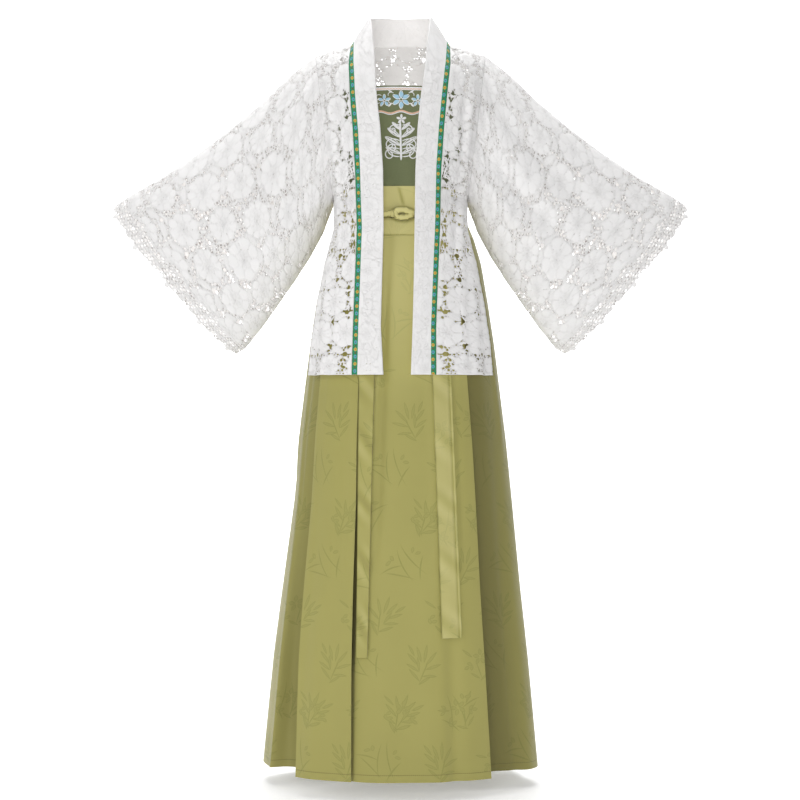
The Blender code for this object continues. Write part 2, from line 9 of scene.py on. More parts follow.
import bpy
import numpy as np
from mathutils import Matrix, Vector


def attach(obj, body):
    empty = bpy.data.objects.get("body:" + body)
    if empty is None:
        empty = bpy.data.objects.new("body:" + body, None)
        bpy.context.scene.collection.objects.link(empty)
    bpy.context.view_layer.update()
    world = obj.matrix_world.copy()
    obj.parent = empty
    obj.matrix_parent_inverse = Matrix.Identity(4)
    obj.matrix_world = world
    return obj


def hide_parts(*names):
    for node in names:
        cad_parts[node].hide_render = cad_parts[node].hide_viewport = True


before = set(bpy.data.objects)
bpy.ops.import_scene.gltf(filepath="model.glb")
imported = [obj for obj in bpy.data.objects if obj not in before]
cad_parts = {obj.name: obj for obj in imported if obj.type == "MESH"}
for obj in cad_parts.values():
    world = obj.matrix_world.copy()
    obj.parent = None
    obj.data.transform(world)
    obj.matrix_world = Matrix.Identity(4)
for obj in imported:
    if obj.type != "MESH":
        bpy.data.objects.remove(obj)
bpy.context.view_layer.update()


# Sleeves. Each is one wide tube of heavy white flower lace, folded flat along its top and its lower edge.
# Blooms in satin stitch lie in staggered rows on a fine net, with leaves, small rings and twigs between
# them. The cuff is an even net under an arched cord, and its edge is small scallops with stitched tabs.
SHOULDER_TIP = (0.150, -0.017)
UNDERARM = (0.118, -0.275)
SEAM_GAP = 0.0003
SLEEVE_OUTLINE = {
    "along": (0.00, 0.14, 0.28, 0.42, 0.56, 0.71, 0.86, 1.00),
    "top_x": (0.150, 0.193, 0.2434, 0.2993, 0.3586, 0.4241, 0.4840, 0.5217),
    "top_z": (-0.017, -0.050, -0.0985, -0.1450, -0.1901, -0.2334, -0.2672, -0.2932),
    "low_x": (0.118, 0.137, 0.160, 0.187, 0.2137, 0.2451, 0.2755, 0.3021),
    "low_z": (-0.275, -0.327, -0.370, -0.412, -0.4505, -0.4946, -0.5330, -0.5500),
    "deep": (0.058, 0.056, 0.052, 0.048, 0.044, 0.040, 0.037, 0.035),
}
SLEEVE_CELLS = (14, 10)
CUFF_ROUNDING = 0.048
FOLD_CROWDING = 0.4
LACE_CELL = 0.0275
STEPS_IN_CELL = 13
STEPS_BEHIND = 10
LACE_RAISED = 0.0009
LACE_BACK = 0.0005
NET_PITCH = 0.215
NET_RADIUS = 0.088
GAP_AWAY = 1.25
GAP_RADIUS = 0.150
SMALL_GAP_RADIUS = 0.068
FLOWER_STRAY = 0.16
FEWEST_PETALS = 7
SATIN_COUNT = 14.0
CUFF_CORD_ROW = 12.15
CUFF_EDGE_ROW = 13.97
CUFF_TABS = (0.75, 2.9, 5.05, 7.2, 9.3)
TAB_ROUNDS = ((-0.02, 0, 0.10), (0.10, -0.075, 0.062), (0.10, 0.075, 0.062), (0.19, 0, 0.062))
TAB_REACH = 0.28
ARMHOLE_CLEAR = 0.0008

# Colours of the lace. The groove grey is painted shade in the grooves and the low net, and also tints slow
# random clouds; the dot colour is painted shade seen through the fine net's holes; the inside colour and the
# glow are painted light on the inside layer.
LACE_WHITE = (0.872, 0.864, 0.860)
LACE_GROOVE_SHADE_AND_MOTTLE = (0.66, 0.645, 0.635)
LACE_HOLE_SHADE = (0.36, 0.32, 0.30)
LACE_INSIDE_PAINTED_LIGHT = (0.85, 0.83, 0.82)
LACE_PAINTED_GLOW = (0.26, 0.253, 0.248)


def column(table, name, at):
    """A column of a table read at any place, by straight steps between its rows."""
    where = np.asarray(table[next(iter(table))], float)
    values = np.asarray(table[name], float)
    order = np.argsort(where)
    return np.interp(at, where[order], values[order])


def smooth_step(x):
    """0 below 0, 1 above 1, and the S 3x^2 - 2x^3 between."""
    x = np.clip(x, 0.0, 1.0)
    return x * x * (3.0 - 2.0 * x)


def scatter(a, b, k):
    """A number from 0 to 1 for each whole pair a, b: the fraction of 43758.5 times the sine of their mix."""
    return np.mod(np.abs(np.sin(a * 127.1 + b * 311.7 + k * 74.7)) * 43758.5453, 1.0)


def nearest_flower(row, col, kind):
    """The nearest flower of one kind to each point, and how far down and across the point lies from it.
    Kind 0 stands at rows 0.5 + 4m and columns 0.5 + 2a, and kind 1 two rows lower and one column across."""
    m = np.round((row - 0.5 - 2 * kind) / 4)
    a = np.round((col - 0.5 - kind) / 2)
    down, over = row - (0.5 + 2 * kind + 4 * m), col - (0.5 + kind + 2 * a)
    return m, a, down, over


def bloom(row, col, size):
    """The flowers: how far inside the outline in cells, a height from 0 to 1, and a stitch count.
    The outline is R(1 - 0.12(1 - |cos(n t / 2)|)) at angle t for n petals. A fine groove parts the petals,
    exp(-(d / 0.03)^2) at a distance d from the line between two, and a smaller corolla of petals turned by
    half a step lies on them, round an eye of short stitches."""
    near = []
    for kind in (0, 1):
        m, a, dy, dx = nearest_flower(row, col, kind)
        away_y, away_x = scatter(m, a, kind + 11) - 0.5, scatter(m, a, kind + 13) - 0.5
        near.append((m, a, dy - FLOWER_STRAY * away_y, dx - FLOWER_STRAY * away_x))
    first = np.hypot(near[0][2], near[0][3]) < np.hypot(near[1][2], near[1][3])
    m, a, dy, dx = (np.where(first, x, y) for x, y in zip(*near))
    which = np.where(first, 0.0, 1.0)
    luck, lean = scatter(m, a, which + 1), scatter(m, a, which + 7)
    count = FEWEST_PETALS + np.floor(luck * 3.99)
    spread = size * (0.76 + 0.28 * scatter(m, a, which + 5))
    rho = np.hypot(dy, dx * (0.90 + 0.2 * lean))
    theta = np.arctan2(dy, dx) + 6.28 * luck
    wave = np.abs(np.cos(count * theta / 2))
    outline = spread * (1 - 0.12 * (1 - wave))
    turned = np.abs(np.sin(count * theta / 2))
    corolla = spread * (0.40 + 0.16 * lean) * (1 - 0.16 * (1 - turned))
    eye = spread * 0.15
    inside = outline - rho
    groove = np.exp(-((2 * rho * wave / count / 0.030) ** 2))
    height = (0.62 + 0.30 * np.clip(inside / 0.15, 0, 1) ** 0.5) * (1 - 0.75 * groove)
    inner_groove = np.exp(-((2 * rho * turned / count / 0.024) ** 2))
    upper = (0.70 + 0.30 * np.clip((corolla - rho) / 0.10, 0, 1) ** 0.5) * (1 - 0.60 * inner_groove)
    shadow = 1 - 0.45 * np.exp(-(((rho - corolla - 0.020) / 0.025) ** 2))
    height = np.where(rho < corolla, upper, height * shadow)
    height = np.where(rho < eye, 0.45 + 0.5 * (rho / eye) ** 2 - 0.35 * (rho < eye * 0.35), height)
    return inside, np.clip(height, 0, 1), theta * SATIN_COUNT


def leaf(row, col):
    """Leaves in the channels between flowers of two rows: width 0.19(1 - (t/0.52)^2) at t along the leaf,
    with a midrib. Some are small rings instead, and a few leave the net bare."""
    b = np.round((row - 1.5) / 2)
    j = np.round(col)
    dy, dx = row - (1.5 + 2 * b), col - j
    lean = np.where(np.mod(j - b, 2) == 0, -1.0, 1.0)
    along = (-dy * lean + 2 * dx) / math.sqrt(5)
    across = (2 * dy * lean + dx) / math.sqrt(5) * lean
    luck = scatter(b, j, 3)
    lens = 0.19 * (1 - (along / 0.52) ** 2) - np.abs(across)
    side = np.where(luck < 0.5, 0.17, -0.17)
    away = np.hypot(along - side, across)
    ring = np.minimum(0.17 - away, away - 0.05)
    inside = np.where(luck < 0.62, lens, np.where(luck < 0.85, ring, -1.0))
    rib = 1 - 0.7 * np.exp(-((across / 0.02) ** 2))
    swell = np.clip(inside / 0.12, 0, 1) ** 0.5 * rib
    stitch = (along + np.abs(across) * 0.8) * LACE_CELL / 0.0011
    return inside, 0.25 + 0.6 * swell, stitch


def twigs(row, col, pitch=0.46):
    """Small leaves in every direction that fill the net between the flowers: 0.085 (1 - (t / 0.27)^2) - |w|
    along and across each, with one near every point of a lattice."""
    best = np.full(np.shape(row), -1.0)
    for down in (-1, 0, 1):
        for over in (-1, 0, 1):
            b, j = np.round(row / pitch) + down, np.round(col / pitch) + over
            turn = math.pi * scatter(b, j, 21)
            dy = row - (b + 0.5 * scatter(b, j, 22) - 0.25) * pitch
            dx = col - (j + 0.5 * scatter(b, j, 23) - 0.25) * pitch
            along = dy * np.sin(turn) + dx * np.cos(turn)
            across = dy * np.cos(turn) - dx * np.sin(turn)
            best = np.maximum(best, 0.085 * (1 - (along / 0.27) ** 2) - np.abs(across))
    return best, 0.40 + 0.45 * np.clip(best / 0.05, 0, 1), row * 6.0 + col * 4.0


def net_hole(row, col, pitch, radius):
    """How far outside the holes of a triangular net a point is, in cells. Holes stand pitch apart."""
    rise = pitch * math.sqrt(3) / 2
    line = np.round(row / rise)
    away = np.full(np.shape(row), 9.0)
    for step in (-1, 0, 1):
        k = line + step
        offset = 0.5 * np.mod(k, 2)
        i = np.round(col / pitch - offset)
        for extra in (-1, 0, 1):
            away = np.minimum(away, np.hypot(row - k * rise, col - (i + offset + extra) * pitch))
    return away - radius


def lace(row, col, openness, both_kinds, last_gap, size=1.0):
    """The whole repeat: how far inside the cloth in cells, below 0 in a hole, its height and its stitches."""
    sway = 0.05 * np.sin(2.1 * row + 0.7 * col) + 0.03 * np.sin(5.3 * col - 1.2 * row)
    uneven = 1 + 0.30 * np.sin(7.1 * row + 3.7 * col) * np.sin(5.3 * col - 4.1 * row)
    net = net_hole(row + sway, col + sway * 0.8, NET_PITCH, NET_RADIUS * openness * uneven)
    cloth, height, stitch = net, 0.22 + 0.13 * np.clip(1 - net / 0.04, 0, 1), row * 9.0 + col * 5.0
    for inside, high, count in (twigs(row, col), leaf(row, col), bloom(row, col, size)):
        take = inside > np.minimum(0.0, cloth)
        over = inside > 0
        cloth = np.maximum(cloth, inside)
        height = np.where(over, high, height)
        stitch = np.where(over, count, stitch)
        edge = np.exp(-((inside / 0.03) ** 2)) * ~over * take
        height = height * (1 - 0.6 * edge)
    for lift, radius in ((1, GAP_RADIUS), (-1, GAP_RADIUS if both_kinds else SMALL_GAP_RADIUS)):
        for kind in (0, 1):
            _, _, dy, dx = nearest_flower(row + lift * GAP_AWAY, col, kind)
            turn = np.arctan2(dy, dx)
            gap = np.hypot(dy, dx) - radius * (1 + 0.14 * np.sin(3 * turn + row)) * openness
            allowed = (row > 0.9) & (row < last_gap)
            cloth = np.where(allowed, np.minimum(cloth, gap), cloth)
            rim = np.exp(-(((gap - 0.03) / 0.03) ** 2))
            height = np.where(allowed, np.maximum(height, 0.7 * rim * (gap < 0.09)), height)
    return cloth, height, stitch


def cuff(row, col, cloth, height, stitch):
    """The cuff's net below an arched cord, its scalloped edge, and tabs of four small rounds past it."""
    line = CUFF_CORD_ROW + 0.55 * np.abs(np.sin(math.pi * (col + 0.4) / 2.6)) ** 0.8
    below = row > line
    uneven = 1 + 0.45 * np.sin(6.1 * row + 2.7 * col) * np.sin(4.3 * col - 3.1 * row)
    net = net_hole(row + 0.09 * np.sin(3 * col + row), col + 0.10 * np.sin(4 * row), 0.25, 0.070 * uneven)
    cloth = np.where(below, net, cloth)
    height = np.where(below, 0.22 + 0.30 * np.clip(1 - net / 0.05, 0, 1), height)
    stitch = np.where(below, row * 8 + col * 8, stitch)
    lower = line + 0.85 - 0.35 * np.abs(np.sin(math.pi * (col - 0.3) / 1.3))
    for at, wide in ((line, 0.045), (lower, 0.035)):
        cord = wide - np.abs(row - at)
        cloth = np.maximum(cloth, cord)
        height = np.where(cord > 0, 0.55 + 0.45 * np.sqrt(np.clip(cord / wide, 0, 1)), height)
        stitch = np.where(cord > 0, (col + row) * LACE_CELL / 0.0012, stitch)
    edge = CUFF_EDGE_ROW - 0.09 * np.abs(np.cos(math.pi * col / 0.62)) - row
    bound = (edge < 0.06) & (edge > 0)
    cloth = np.minimum(np.where(bound, np.maximum(cloth, 0.05), cloth), edge)
    height = np.where(bound, 0.8, height)
    for tab in CUFF_TABS:
        for dy, dx, radius in TAB_ROUNDS:
            lobe = radius - np.hypot(row - CUFF_EDGE_ROW - dy, col - tab - dx)
            cloth = np.maximum(cloth, lobe)
            height = np.where(lobe > 0, 0.4 + 0.6 * np.clip(lobe / 0.05, 0, 1), height)
    return cloth, height, stitch


def round_cells(number):
    """Four numbers for each cell of a grid: those at its corners, in order round it."""
    corners = [number[:-1, :-1], number[1:, :-1], number[1:, 1:], number[:-1, 1:]]
    return np.stack(corners, axis=-1).reshape(-1, 4)


def clipped_grid(inside):
    """The faces of a grid where a value is above 0, with cut edges where it passes 0: a list of
    (cells, corner numbers) for faces of 3 to 6 corners, and for each new point its two grid points and the
    share between them. Corners go round a cell; an edge point follows each corner where the sign changes."""
    rows, columns = inside.shape
    number = np.arange(rows * columns).reshape(rows, columns)
    ends = [
        np.stack([number[:-1, :].ravel(), number[1:, :].ravel()], axis=1),
        np.stack([number[:, :-1].ravel(), number[:, 1:].ravel()], axis=1),
    ]
    down_edge = rows * columns + np.arange(len(ends[0])).reshape(rows - 1, columns)
    over_edge = rows * columns + len(ends[0]) + np.arange(len(ends[1])).reshape(rows, columns - 1)
    ends = np.concatenate(ends)
    value = inside.ravel()
    first, second = value[ends[:, 0]], value[ends[:, 1]]
    share = np.clip(first / np.where(first == second, 1, first - second), 0.04, 0.96)
    corners = round_cells(number)
    edges = [down_edge[:, :-1], over_edge[1:, :], down_edge[:, 1:], over_edge[:-1, :]]
    edges = np.stack(edges, axis=-1).reshape(-1, 4)
    code = (value > 0)[corners] @ np.array([1, 2, 4, 8])
    faces = {}
    for case in range(1, 16):
        cells = np.flatnonzero(code == case)
        if not len(cells):
            continue
        round_cell = []
        for k in range(4):
            here, after = case >> k & 1, case >> ((k + 1) % 4) & 1
            if here:
                round_cell.append(corners[cells, k])
            if here != after:
                round_cell.append(edges[cells, k])
        faces.setdefault(len(round_cell), []).append(np.stack(round_cell, axis=1))
    return [np.concatenate(group) for group in faces.values()], ends, share


def add_fact(mesh, name, values):
    """Gives each point of a mesh a number that its material reads by name."""
    mesh.attributes.new(name, "FLOAT", "POINT").data.foreach_set("value", values.astype(np.float32))


def placed(name, data):
    """An object with the name and the data, put in the scene."""
    made = bpy.data.objects.new(name, data)
    bpy.context.scene.collection.objects.link(made)
    return made


def shell(name, outer, inner, faces, uv, facts, round_u=None):
    """A closed mesh from an outer and an inner layer with the same faces, joined by a rim where an edge has
    one face. Points that no face uses are left out. uv and each fact go with the points of both layers. On a
    ring, round_u is the length of u all round, added where a face passes the place where u starts again."""
    used = np.zeros(len(outer), bool)
    for group in faces:
        used[group.ravel()] = True
    renumber = np.cumsum(used) - 1
    faces = [renumber[group] for group in faces]
    outer, inner, uv = outer[used], inner[used], uv[used]
    count = len(outer)
    heads = np.concatenate([group.ravel() for group in faces])
    tails = np.concatenate([np.roll(group, -1, axis=1).ravel() for group in faces])
    forward, backward = heads * count + tails, tails * count + heads
    open_edge = ~np.isin(forward, backward)
    a, b = heads[open_edge], tails[open_edge]
    rim = np.stack([b, a, a + count, b + count], axis=1)
    groups = [*faces, *(group[:, ::-1] + count for group in faces), rim]
    corners = np.concatenate([group.ravel() for group in groups])
    sizes = np.concatenate([np.full(len(group), group.shape[1]) for group in groups])
    mesh = bpy.data.meshes.new(name)
    mesh.vertices.add(2 * count)
    mesh.vertices.foreach_set("co", np.concatenate([outer, inner]).astype(np.float32).ravel())
    mesh.loops.add(len(corners))
    mesh.loops.foreach_set("vertex_index", corners.astype(np.int32))
    mesh.polygons.add(len(sizes))
    starts = np.concatenate([[0], np.cumsum(sizes)[:-1]])
    mesh.polygons.foreach_set("loop_start", starts.astype(np.int32))
    mesh.polygons.foreach_set("use_smooth", np.ones(len(sizes), bool))
    mesh.update(calc_edges=True)
    layer = mesh.uv_layers.new(name="UVMap")
    place = np.concatenate([uv, uv])[corners]
    if round_u:
        most = np.repeat(np.maximum.reduceat(place[:, 0], starts), sizes)
        place[:, 0] += round_u * (most - place[:, 0] > round_u / 2)
    layer.data.foreach_set("uv", place.astype(np.float32).ravel())
    for fact, values in facts:
        add_fact(mesh, fact, np.tile(values[used], 2))
    add_fact(mesh, "inside", np.repeat([0.0, 1.0], count))
    mesh.validate()
    return placed(name, mesh)


def facing(points, core):
    """Unit normals of a grid of points, turned away from the core points."""
    normal = np.cross(np.gradient(points, axis=0), np.gradient(points, axis=1))
    normal /= np.maximum(np.linalg.norm(normal, axis=2, keepdims=True), 1e-12)
    return normal * np.sign(np.sum(normal * (points - core)))


def turned_out(faces, points, normals):
    """The faces with their corners in the order that makes them face along the normals."""
    group = faces[0]
    a, b, c = points[group[:, 0]], points[group[:, 1]], points[group[:, 2]]
    way = np.sum(np.cross(b - a, c - a) * normals[group[:, 0]])
    return faces if way > 0 else [group[:, ::-1] for group in faces]


def lace_piece(name, points, core, row, col, cloth, height, stitch):
    """Raises a grid of lace off its surface, cuts its holes, and makes it a closed piece."""
    normals = facing(points, core)
    front = points + normals * (0.0002 + LACE_RAISED * height[..., None])
    back = points - normals * LACE_BACK
    faces, ends, share = clipped_grid(cloth)

    def spread(values):
        """The values of the grid's points, and between them by the share on each cut edge."""
        flat = values.reshape(cloth.size, -1)
        between = flat[ends[:, 0]] * (1 - share[:, None]) + flat[ends[:, 1]] * share[:, None]
        return np.concatenate([flat, between])

    uv = spread(np.stack([col * LACE_CELL, -row * LACE_CELL], axis=-1))
    outer, inner = spread(front), spread(back)
    faces = turned_out(faces, outer, spread(normals))
    facts = [("height", spread(height)[:, 0]), ("stitch", spread(stitch)[:, 0])]
    piece = shell(name, outer, inner, faces, uv, facts)
    piece.data.materials.append(lace_material)
    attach(piece, "root")
    return piece


FULL_TURN = 6.2832


class Value:
    """One output of a material's nodes. Arithmetic on it adds Math nodes."""

    def __init__(self, tree, socket):
        self.tree, self.socket = tree, socket

    def join(self, place, value):
        """Feeds a node's input with a value of a node, or sets it to a number or a colour."""
        if isinstance(value, Value):
            self.tree.links.new(value.socket, place)
        elif isinstance(value, (tuple, list)) and len(value) == 3 and place.type == "RGBA":
            place.default_value = (*value, 1.0)
        else:
            place.default_value = value

    def maths(self, operation, *others):
        """A Math node on this and the others."""
        node = self.tree.nodes.new("ShaderNodeMath")
        node.operation = operation
        for place, value in zip(node.inputs, (self, *others)):
            self.join(place, value)
        return Value(self.tree, node.outputs[0])

    def node(self, kind, inputs, output=0, **settings):
        """Adds any other node, with its settings and its inputs by name or number."""
        made = self.tree.nodes.new(kind)
        for name, value in settings.items():
            setattr(made, name, value)
        for name, value in inputs.items():
            self.join(made.inputs[name], value)
        return Value(self.tree, made.outputs[output])

    __add__ = __radd__ = partialmethod(maths, "ADD")
    __sub__ = partialmethod(maths, "SUBTRACT")
    __mul__ = __rmul__ = partialmethod(maths, "MULTIPLY")
    __truediv__ = partialmethod(maths, "DIVIDE")
    __abs__ = partialmethod(maths, "ABSOLUTE")
    sin = partialmethod(maths, "SINE")
    cos = partialmethod(maths, "COSINE")
    root = partialmethod(maths, "SQRT")
    floor = partialmethod(maths, "FLOOR")
    fraction = partialmethod(maths, "FRACT")
    most = partialmethod(maths, "MAXIMUM")

    def __rsub__(self, other):
        return (self * -1.0) + other

    def wave(self, step):
        """sin(2 pi x / step)."""
        return (self * (FULL_TURN / step)).sin()

    def fact(self, name):
        """A number that the mesh holds for each point."""
        return self.node("ShaderNodeAttribute", {}, output=2, attribute_name=name)

    def noise(self, scale, detail):
        """Soft noise from 0 to 1 at this place."""
        return self.node("ShaderNodeTexNoise", {"Vector": self, "Scale": scale, "Detail": detail})

    def step(self, low, high):
        """0 below low, 1 above high and smooth between."""
        ends = {"Value": self, "From Min": low, "From Max": high}
        return self.node("ShaderNodeMapRange", ends, interpolation_type="SMOOTHSTEP")

    def mixed(self, first, second):
        """The first colour where this is 0, the second where it is 1."""
        return self.node("ShaderNodeMix", {0: self, 6: first, 7: second}, output=2, data_type="RGBA")


def new_material(name, roughness, sheen):
    """A Principled material, with the values that its formulas start from: its shader, u and v in metres
    from the UV map, and the object's coordinates."""
    material = bpy.data.materials.new(name)
    material.use_nodes = True
    tree = material.node_tree
    shader = tree.nodes["Principled BSDF"]
    shader.inputs["Roughness"].default_value = roughness
    shader.inputs["Specular IOR Level"].default_value = 0.3
    shader.inputs["Sheen Weight"].default_value = sheen
    shader.inputs["Sheen Roughness"].default_value = 0.5
    places = tree.nodes.new("ShaderNodeTexCoord")
    uv = Value(tree, places.outputs["UV"])
    split = tree.nodes.new("ShaderNodeSeparateXYZ")
    tree.links.new(uv.socket, split.inputs[0])
    u, v = Value(tree, split.outputs[0]), Value(tree, split.outputs[1])
    return material, shader, u, v, Value(tree, places.outputs["Object"])


def finish_material(shader, start, colour, bump, distance, roughness=None):
    """Feeds a shader with its colour, its bump and, where it varies, its roughness."""
    start.join(shader.inputs["Base Color"], colour)
    if roughness is not None:
        start.join(shader.inputs["Roughness"], roughness)
    normal = start.node("ShaderNodeBump", {"Height": bump, "Strength": 1.0, "Distance": distance})
    start.join(shader.inputs["Normal"], normal)


lace_material, lace_shader, lace_u, lace_v, lace_place = new_material("lace", 0.85, 0.2)
raised, stitches, seen_back = (lace_u.fact(name) for name in ("height", "stitch", "inside"))
thread = stitches.wave(1.0) * 0.5 + 0.5
lace_cloud = lace_place.noise(18.0, 2.0)
mesh_place = {"Vector": lace_u.node("ShaderNodeCombineXYZ", {"X": lace_u, "Y": lace_v}), "Scale": 250.0}
threads_away = lace_u.node("ShaderNodeTexVoronoi", mesh_place, feature="DISTANCE_TO_EDGE")
# Painted shade seen through the fine net's holes, as grey-brown dots.
shaded_holes = threads_away.step(0.14, 0.25) * (1.0 - raised.step(0.30, 0.48))
# Painted shade: grey in the grooves and the low net, white on the raised petals and rims, by height, and a
# little darker between stitches.
relief_shading = raised.step(0.0, 0.45) * (0.80 + 0.20 * raised.step(0.5, 0.95)) * (0.93 + 0.07 * thread)
white = relief_shading.mixed(LACE_GROOVE_SHADE_AND_MOTTLE, LACE_WHITE)
white = (shaded_holes * (0.50 + 0.40 * lace_cloud.step(0.40, 0.62))).mixed(white, LACE_HOLE_SHADE)
# Painted light: the inside layer takes an even pale tint that evens out the grooves' painted shade.
white = (seen_back * 0.60).mixed(white, LACE_INSIDE_PAINTED_LIGHT)
white = (lace_cloud.step(0.35, 0.75) * 0.06).mixed(white, LACE_GROOVE_SHADE_AND_MOTTLE)
finish_material(lace_shader, lace_u, white, bump=thread * 0.35 + raised - shaded_holes * 0.4, distance=0.0004)
# A painted glow on the inside layer, standing for light that comes through the lace.
painted_glow = seen_back * (0.62 + 0.42 * raised.step(0.1, 0.8)) * (1.0 - shaded_holes * 0.35)
lace_u.join(lace_shader.inputs["Emission Color"], painted_glow.mixed((0.0, 0.0, 0.0), LACE_PAINTED_GLOW))
lace_shader.inputs["Emission Strength"].default_value = 1.0


def sleeve_point(along, share, half, side):
    """A point of a sleeve. The outline gives the top and the low line, and y is half * deep *
    sqrt(1 - (2 share - 1)^2) between them. Past the cuff's end the sleeve goes straight on."""
    reach = along * (1 - CUFF_ROUNDING * np.abs(2 * share - 1) ** 6)
    beyond = np.maximum(reach - 1, 0)
    last_step = SLEEVE_OUTLINE["along"][-1] - SLEEVE_OUTLINE["along"][-2]
    top_x, top_z, low_x, low_z, deep = (
        column(SLEEVE_OUTLINE, name, reach) + (line[-1] - line[-2]) / last_step * beyond
        for name, line in list(SLEEVE_OUTLINE.items())[1:]
    )
    x = top_x + (low_x - top_x) * share
    z = top_z + (low_z - top_z) * share
    y = half * deep * np.sqrt(np.maximum(1 - (2 * share - 1) ** 2, 0))
    return np.stack([x * side, y, z], axis=-1)


def sleeve_folds(along, share, side, half):
    """Soft folds that run from the shoulder and the underarm out along the sleeve, and fade before the cuff:
    the sum of d exp(-((s - c - k a) / w)^2) over the folds, for s across and a along."""
    total = np.zeros(np.broadcast(along, share).shape)
    turn = 0.04 * side * half
    for centre, slope, width, depth in (
        (0.16, 0.16, 0.050, 0.0042),
        (0.30, 0.10, 0.060, -0.0048),
        (0.46, 0.02, 0.070, 0.0045),
        (0.63, -0.08, 0.055, -0.0042),
        (0.80, -0.16, 0.050, 0.0046),
    ):
        total = total + depth * np.exp(-(((share - centre - turn - slope * along) / width) ** 2))
    start = smooth_step(along / 0.10)
    fade = 1 - 0.78 * smooth_step((along - 0.30) / 0.45)
    edges = smooth_step(share / 0.12) * smooth_step((1 - share) / 0.12)
    return total * start * fade * edges


def build_sleeve(name, side, half):
    """Half of a sleeve, in front or behind, from the armhole to the tabs past the cuff's edge."""
    rows, columns = SLEEVE_CELLS
    steps = STEPS_IN_CELL if half < 0 else STEPS_BEHIND
    row = np.linspace(0, rows + TAB_REACH, round((rows + TAB_REACH) * steps) + 1)[:, None]
    col = np.linspace(0, columns, columns * steps + 1)[None, :]
    along, even = row / rows, col / columns
    share = even + (0.5 - 0.5 * np.cos(math.pi * even) - even) * FOLD_CROWDING
    along, share = np.broadcast_arrays(along, share)
    points = sleeve_point(along, share, half, side)
    points[:, 0, 1] = points[:, -1, 1] = half * SEAM_GAP / 2
    middle = sleeve_point(along, np.full_like(share, 0.5), 0.0, side)
    normals = facing(points, middle)
    points = points + normals * sleeve_folds(along, share, side, half)[..., None]
    run, fall = UNDERARM[0] - SHOULDER_TIP[0], UNDERARM[1] - SHOULDER_TIP[1]
    plane = np.array([-fall * side, 0.0, run])
    points = points - plane / np.linalg.norm(plane) * ARMHOLE_CLEAR
    row, col = np.broadcast_arrays(row, col)
    openness = 0.50 + 0.45 * smooth_step((row / rows - 0.15) / 0.6) * (0.35 + 0.65 * share)
    cloth, height, stitch = lace(row, col, openness, both_kinds=False, last_gap=12.5)
    cloth, height, stitch = cuff(row, col, cloth, height, stitch)
    piece = lace_piece(name + "_lace", points, middle, row, col, cloth, height, stitch)
    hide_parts(name)


for side_name, sign in (("right", -1), ("left", 1)):
    build_sleeve(f"sleeve_{side_name}_front", sign, -1)
    build_sleeve(f"sleeve_{side_name}_back", sign, 1)


# The jacket's body. Two fronts and one back of the same lace hang from the shoulders' ridge. Each front runs
# from the band's seam to the armhole and, below it, to the open side vent. The hem is cut straight across.
JACKET_LENGTH = 0.582
NECK_HALF = 0.086
NECK_BACK_DEPTH = 0.062
NECK_BACK_RISE = 0.034
ARMHOLE_DEPTH = 0.058
SHOULDER_ROLL = 0.100
RIDGE_START = 0.0004
RIBBON_WIDTH = 0.011
HEMMED = 0.045
FRONT_CELLS = 3
UPPER_CELLS = 12
LOWER_CELLS = 11
JACKET_SECTIONS = {
    "z": (-0.100, -0.180, -0.275, -0.300, -0.331, -0.384, -0.457, -0.529, -0.582),
    "front": (0.108, 0.114, 0.118, 0.119, 0.121, 0.125, 0.132, 0.139, 0.145),
    "back": (0.099, 0.101, 0.0975, 0.0968, 0.0984, 0.1095, 0.122, 0.132, 0.138),
    "half": (0.118, 0.118, 0.118, 0.127, 0.138, 0.149, 0.161, 0.172, 0.179),
    "edge": (0.118, 0.118, 0.118, 0.1165, 0.1165, 0.131, 0.1455, 0.156, 0.160),
}
FRONT_EDGES = {
    "drop": (0.000, 0.045, 0.100, 0.160, 0.230, 0.330, 0.420, 0.500, 0.582),
    "open_r": (0.0530, 0.0450, 0.0410, 0.0345, 0.0300, 0.0290, 0.0315, 0.0335, 0.0290),
    "open_l": (0.0530, 0.0440, 0.0350, 0.0290, 0.0255, 0.0240, 0.0225, 0.0205, 0.0175),
    "trim_r": (0.0805, 0.0840, 0.0815, 0.0765, 0.0725, 0.0693, 0.0725, 0.0755, 0.0776),
    "trim_l": (0.0805, 0.0805, 0.0745, 0.0690, 0.0642, 0.0622, 0.0583, 0.0550, 0.0552),
}
ARM_DROP = (SHOULDER_TIP[1] - UNDERARM[1]) / (1 + SHOULDER_TIP[1] / JACKET_LENGTH)


def roll_length(depth):
    """The cloth's length over the shoulder, a quarter ellipse: pi / 2 sqrt((depth^2 + roll^2) / 2)."""
    return math.pi / 2 * math.sqrt((depth**2 + SHOULDER_ROLL**2) / 2)


def drop_at(length, roll):
    """How far down the cloth lies after a length of it: ROLL (1 - cos) over the shoulder, then straight."""
    angle = np.clip(length / roll, 0, 1) * math.pi / 2
    return SHOULDER_ROLL * (1 - np.cos(angle)) + np.maximum(length - roll, 0)


def length_at(row, start, roll):
    """The length of cloth at a row: even cells from the start to the underarm, and even ones to the hem."""
    arm_length = roll + ARM_DROP - SHOULDER_ROLL
    hem_length = roll + JACKET_LENGTH - SHOULDER_ROLL
    upper = start + (arm_length - start) * row / UPPER_CELLS
    lower = arm_length + (hem_length - arm_length) * (row - UPPER_CELLS) / LOWER_CELLS
    return np.where(row < UPPER_CELLS, upper, lower)


def row_drop(row, depth, ridge_y):
    """How far down a row of the cloth lies. The roll starts at the angle asin(ridge_y / depth)."""
    roll = roll_length(depth)
    start = roll * 2 / math.pi * np.arcsin(ridge_y / depth)
    return drop_at(length_at(row, start, roll), roll)


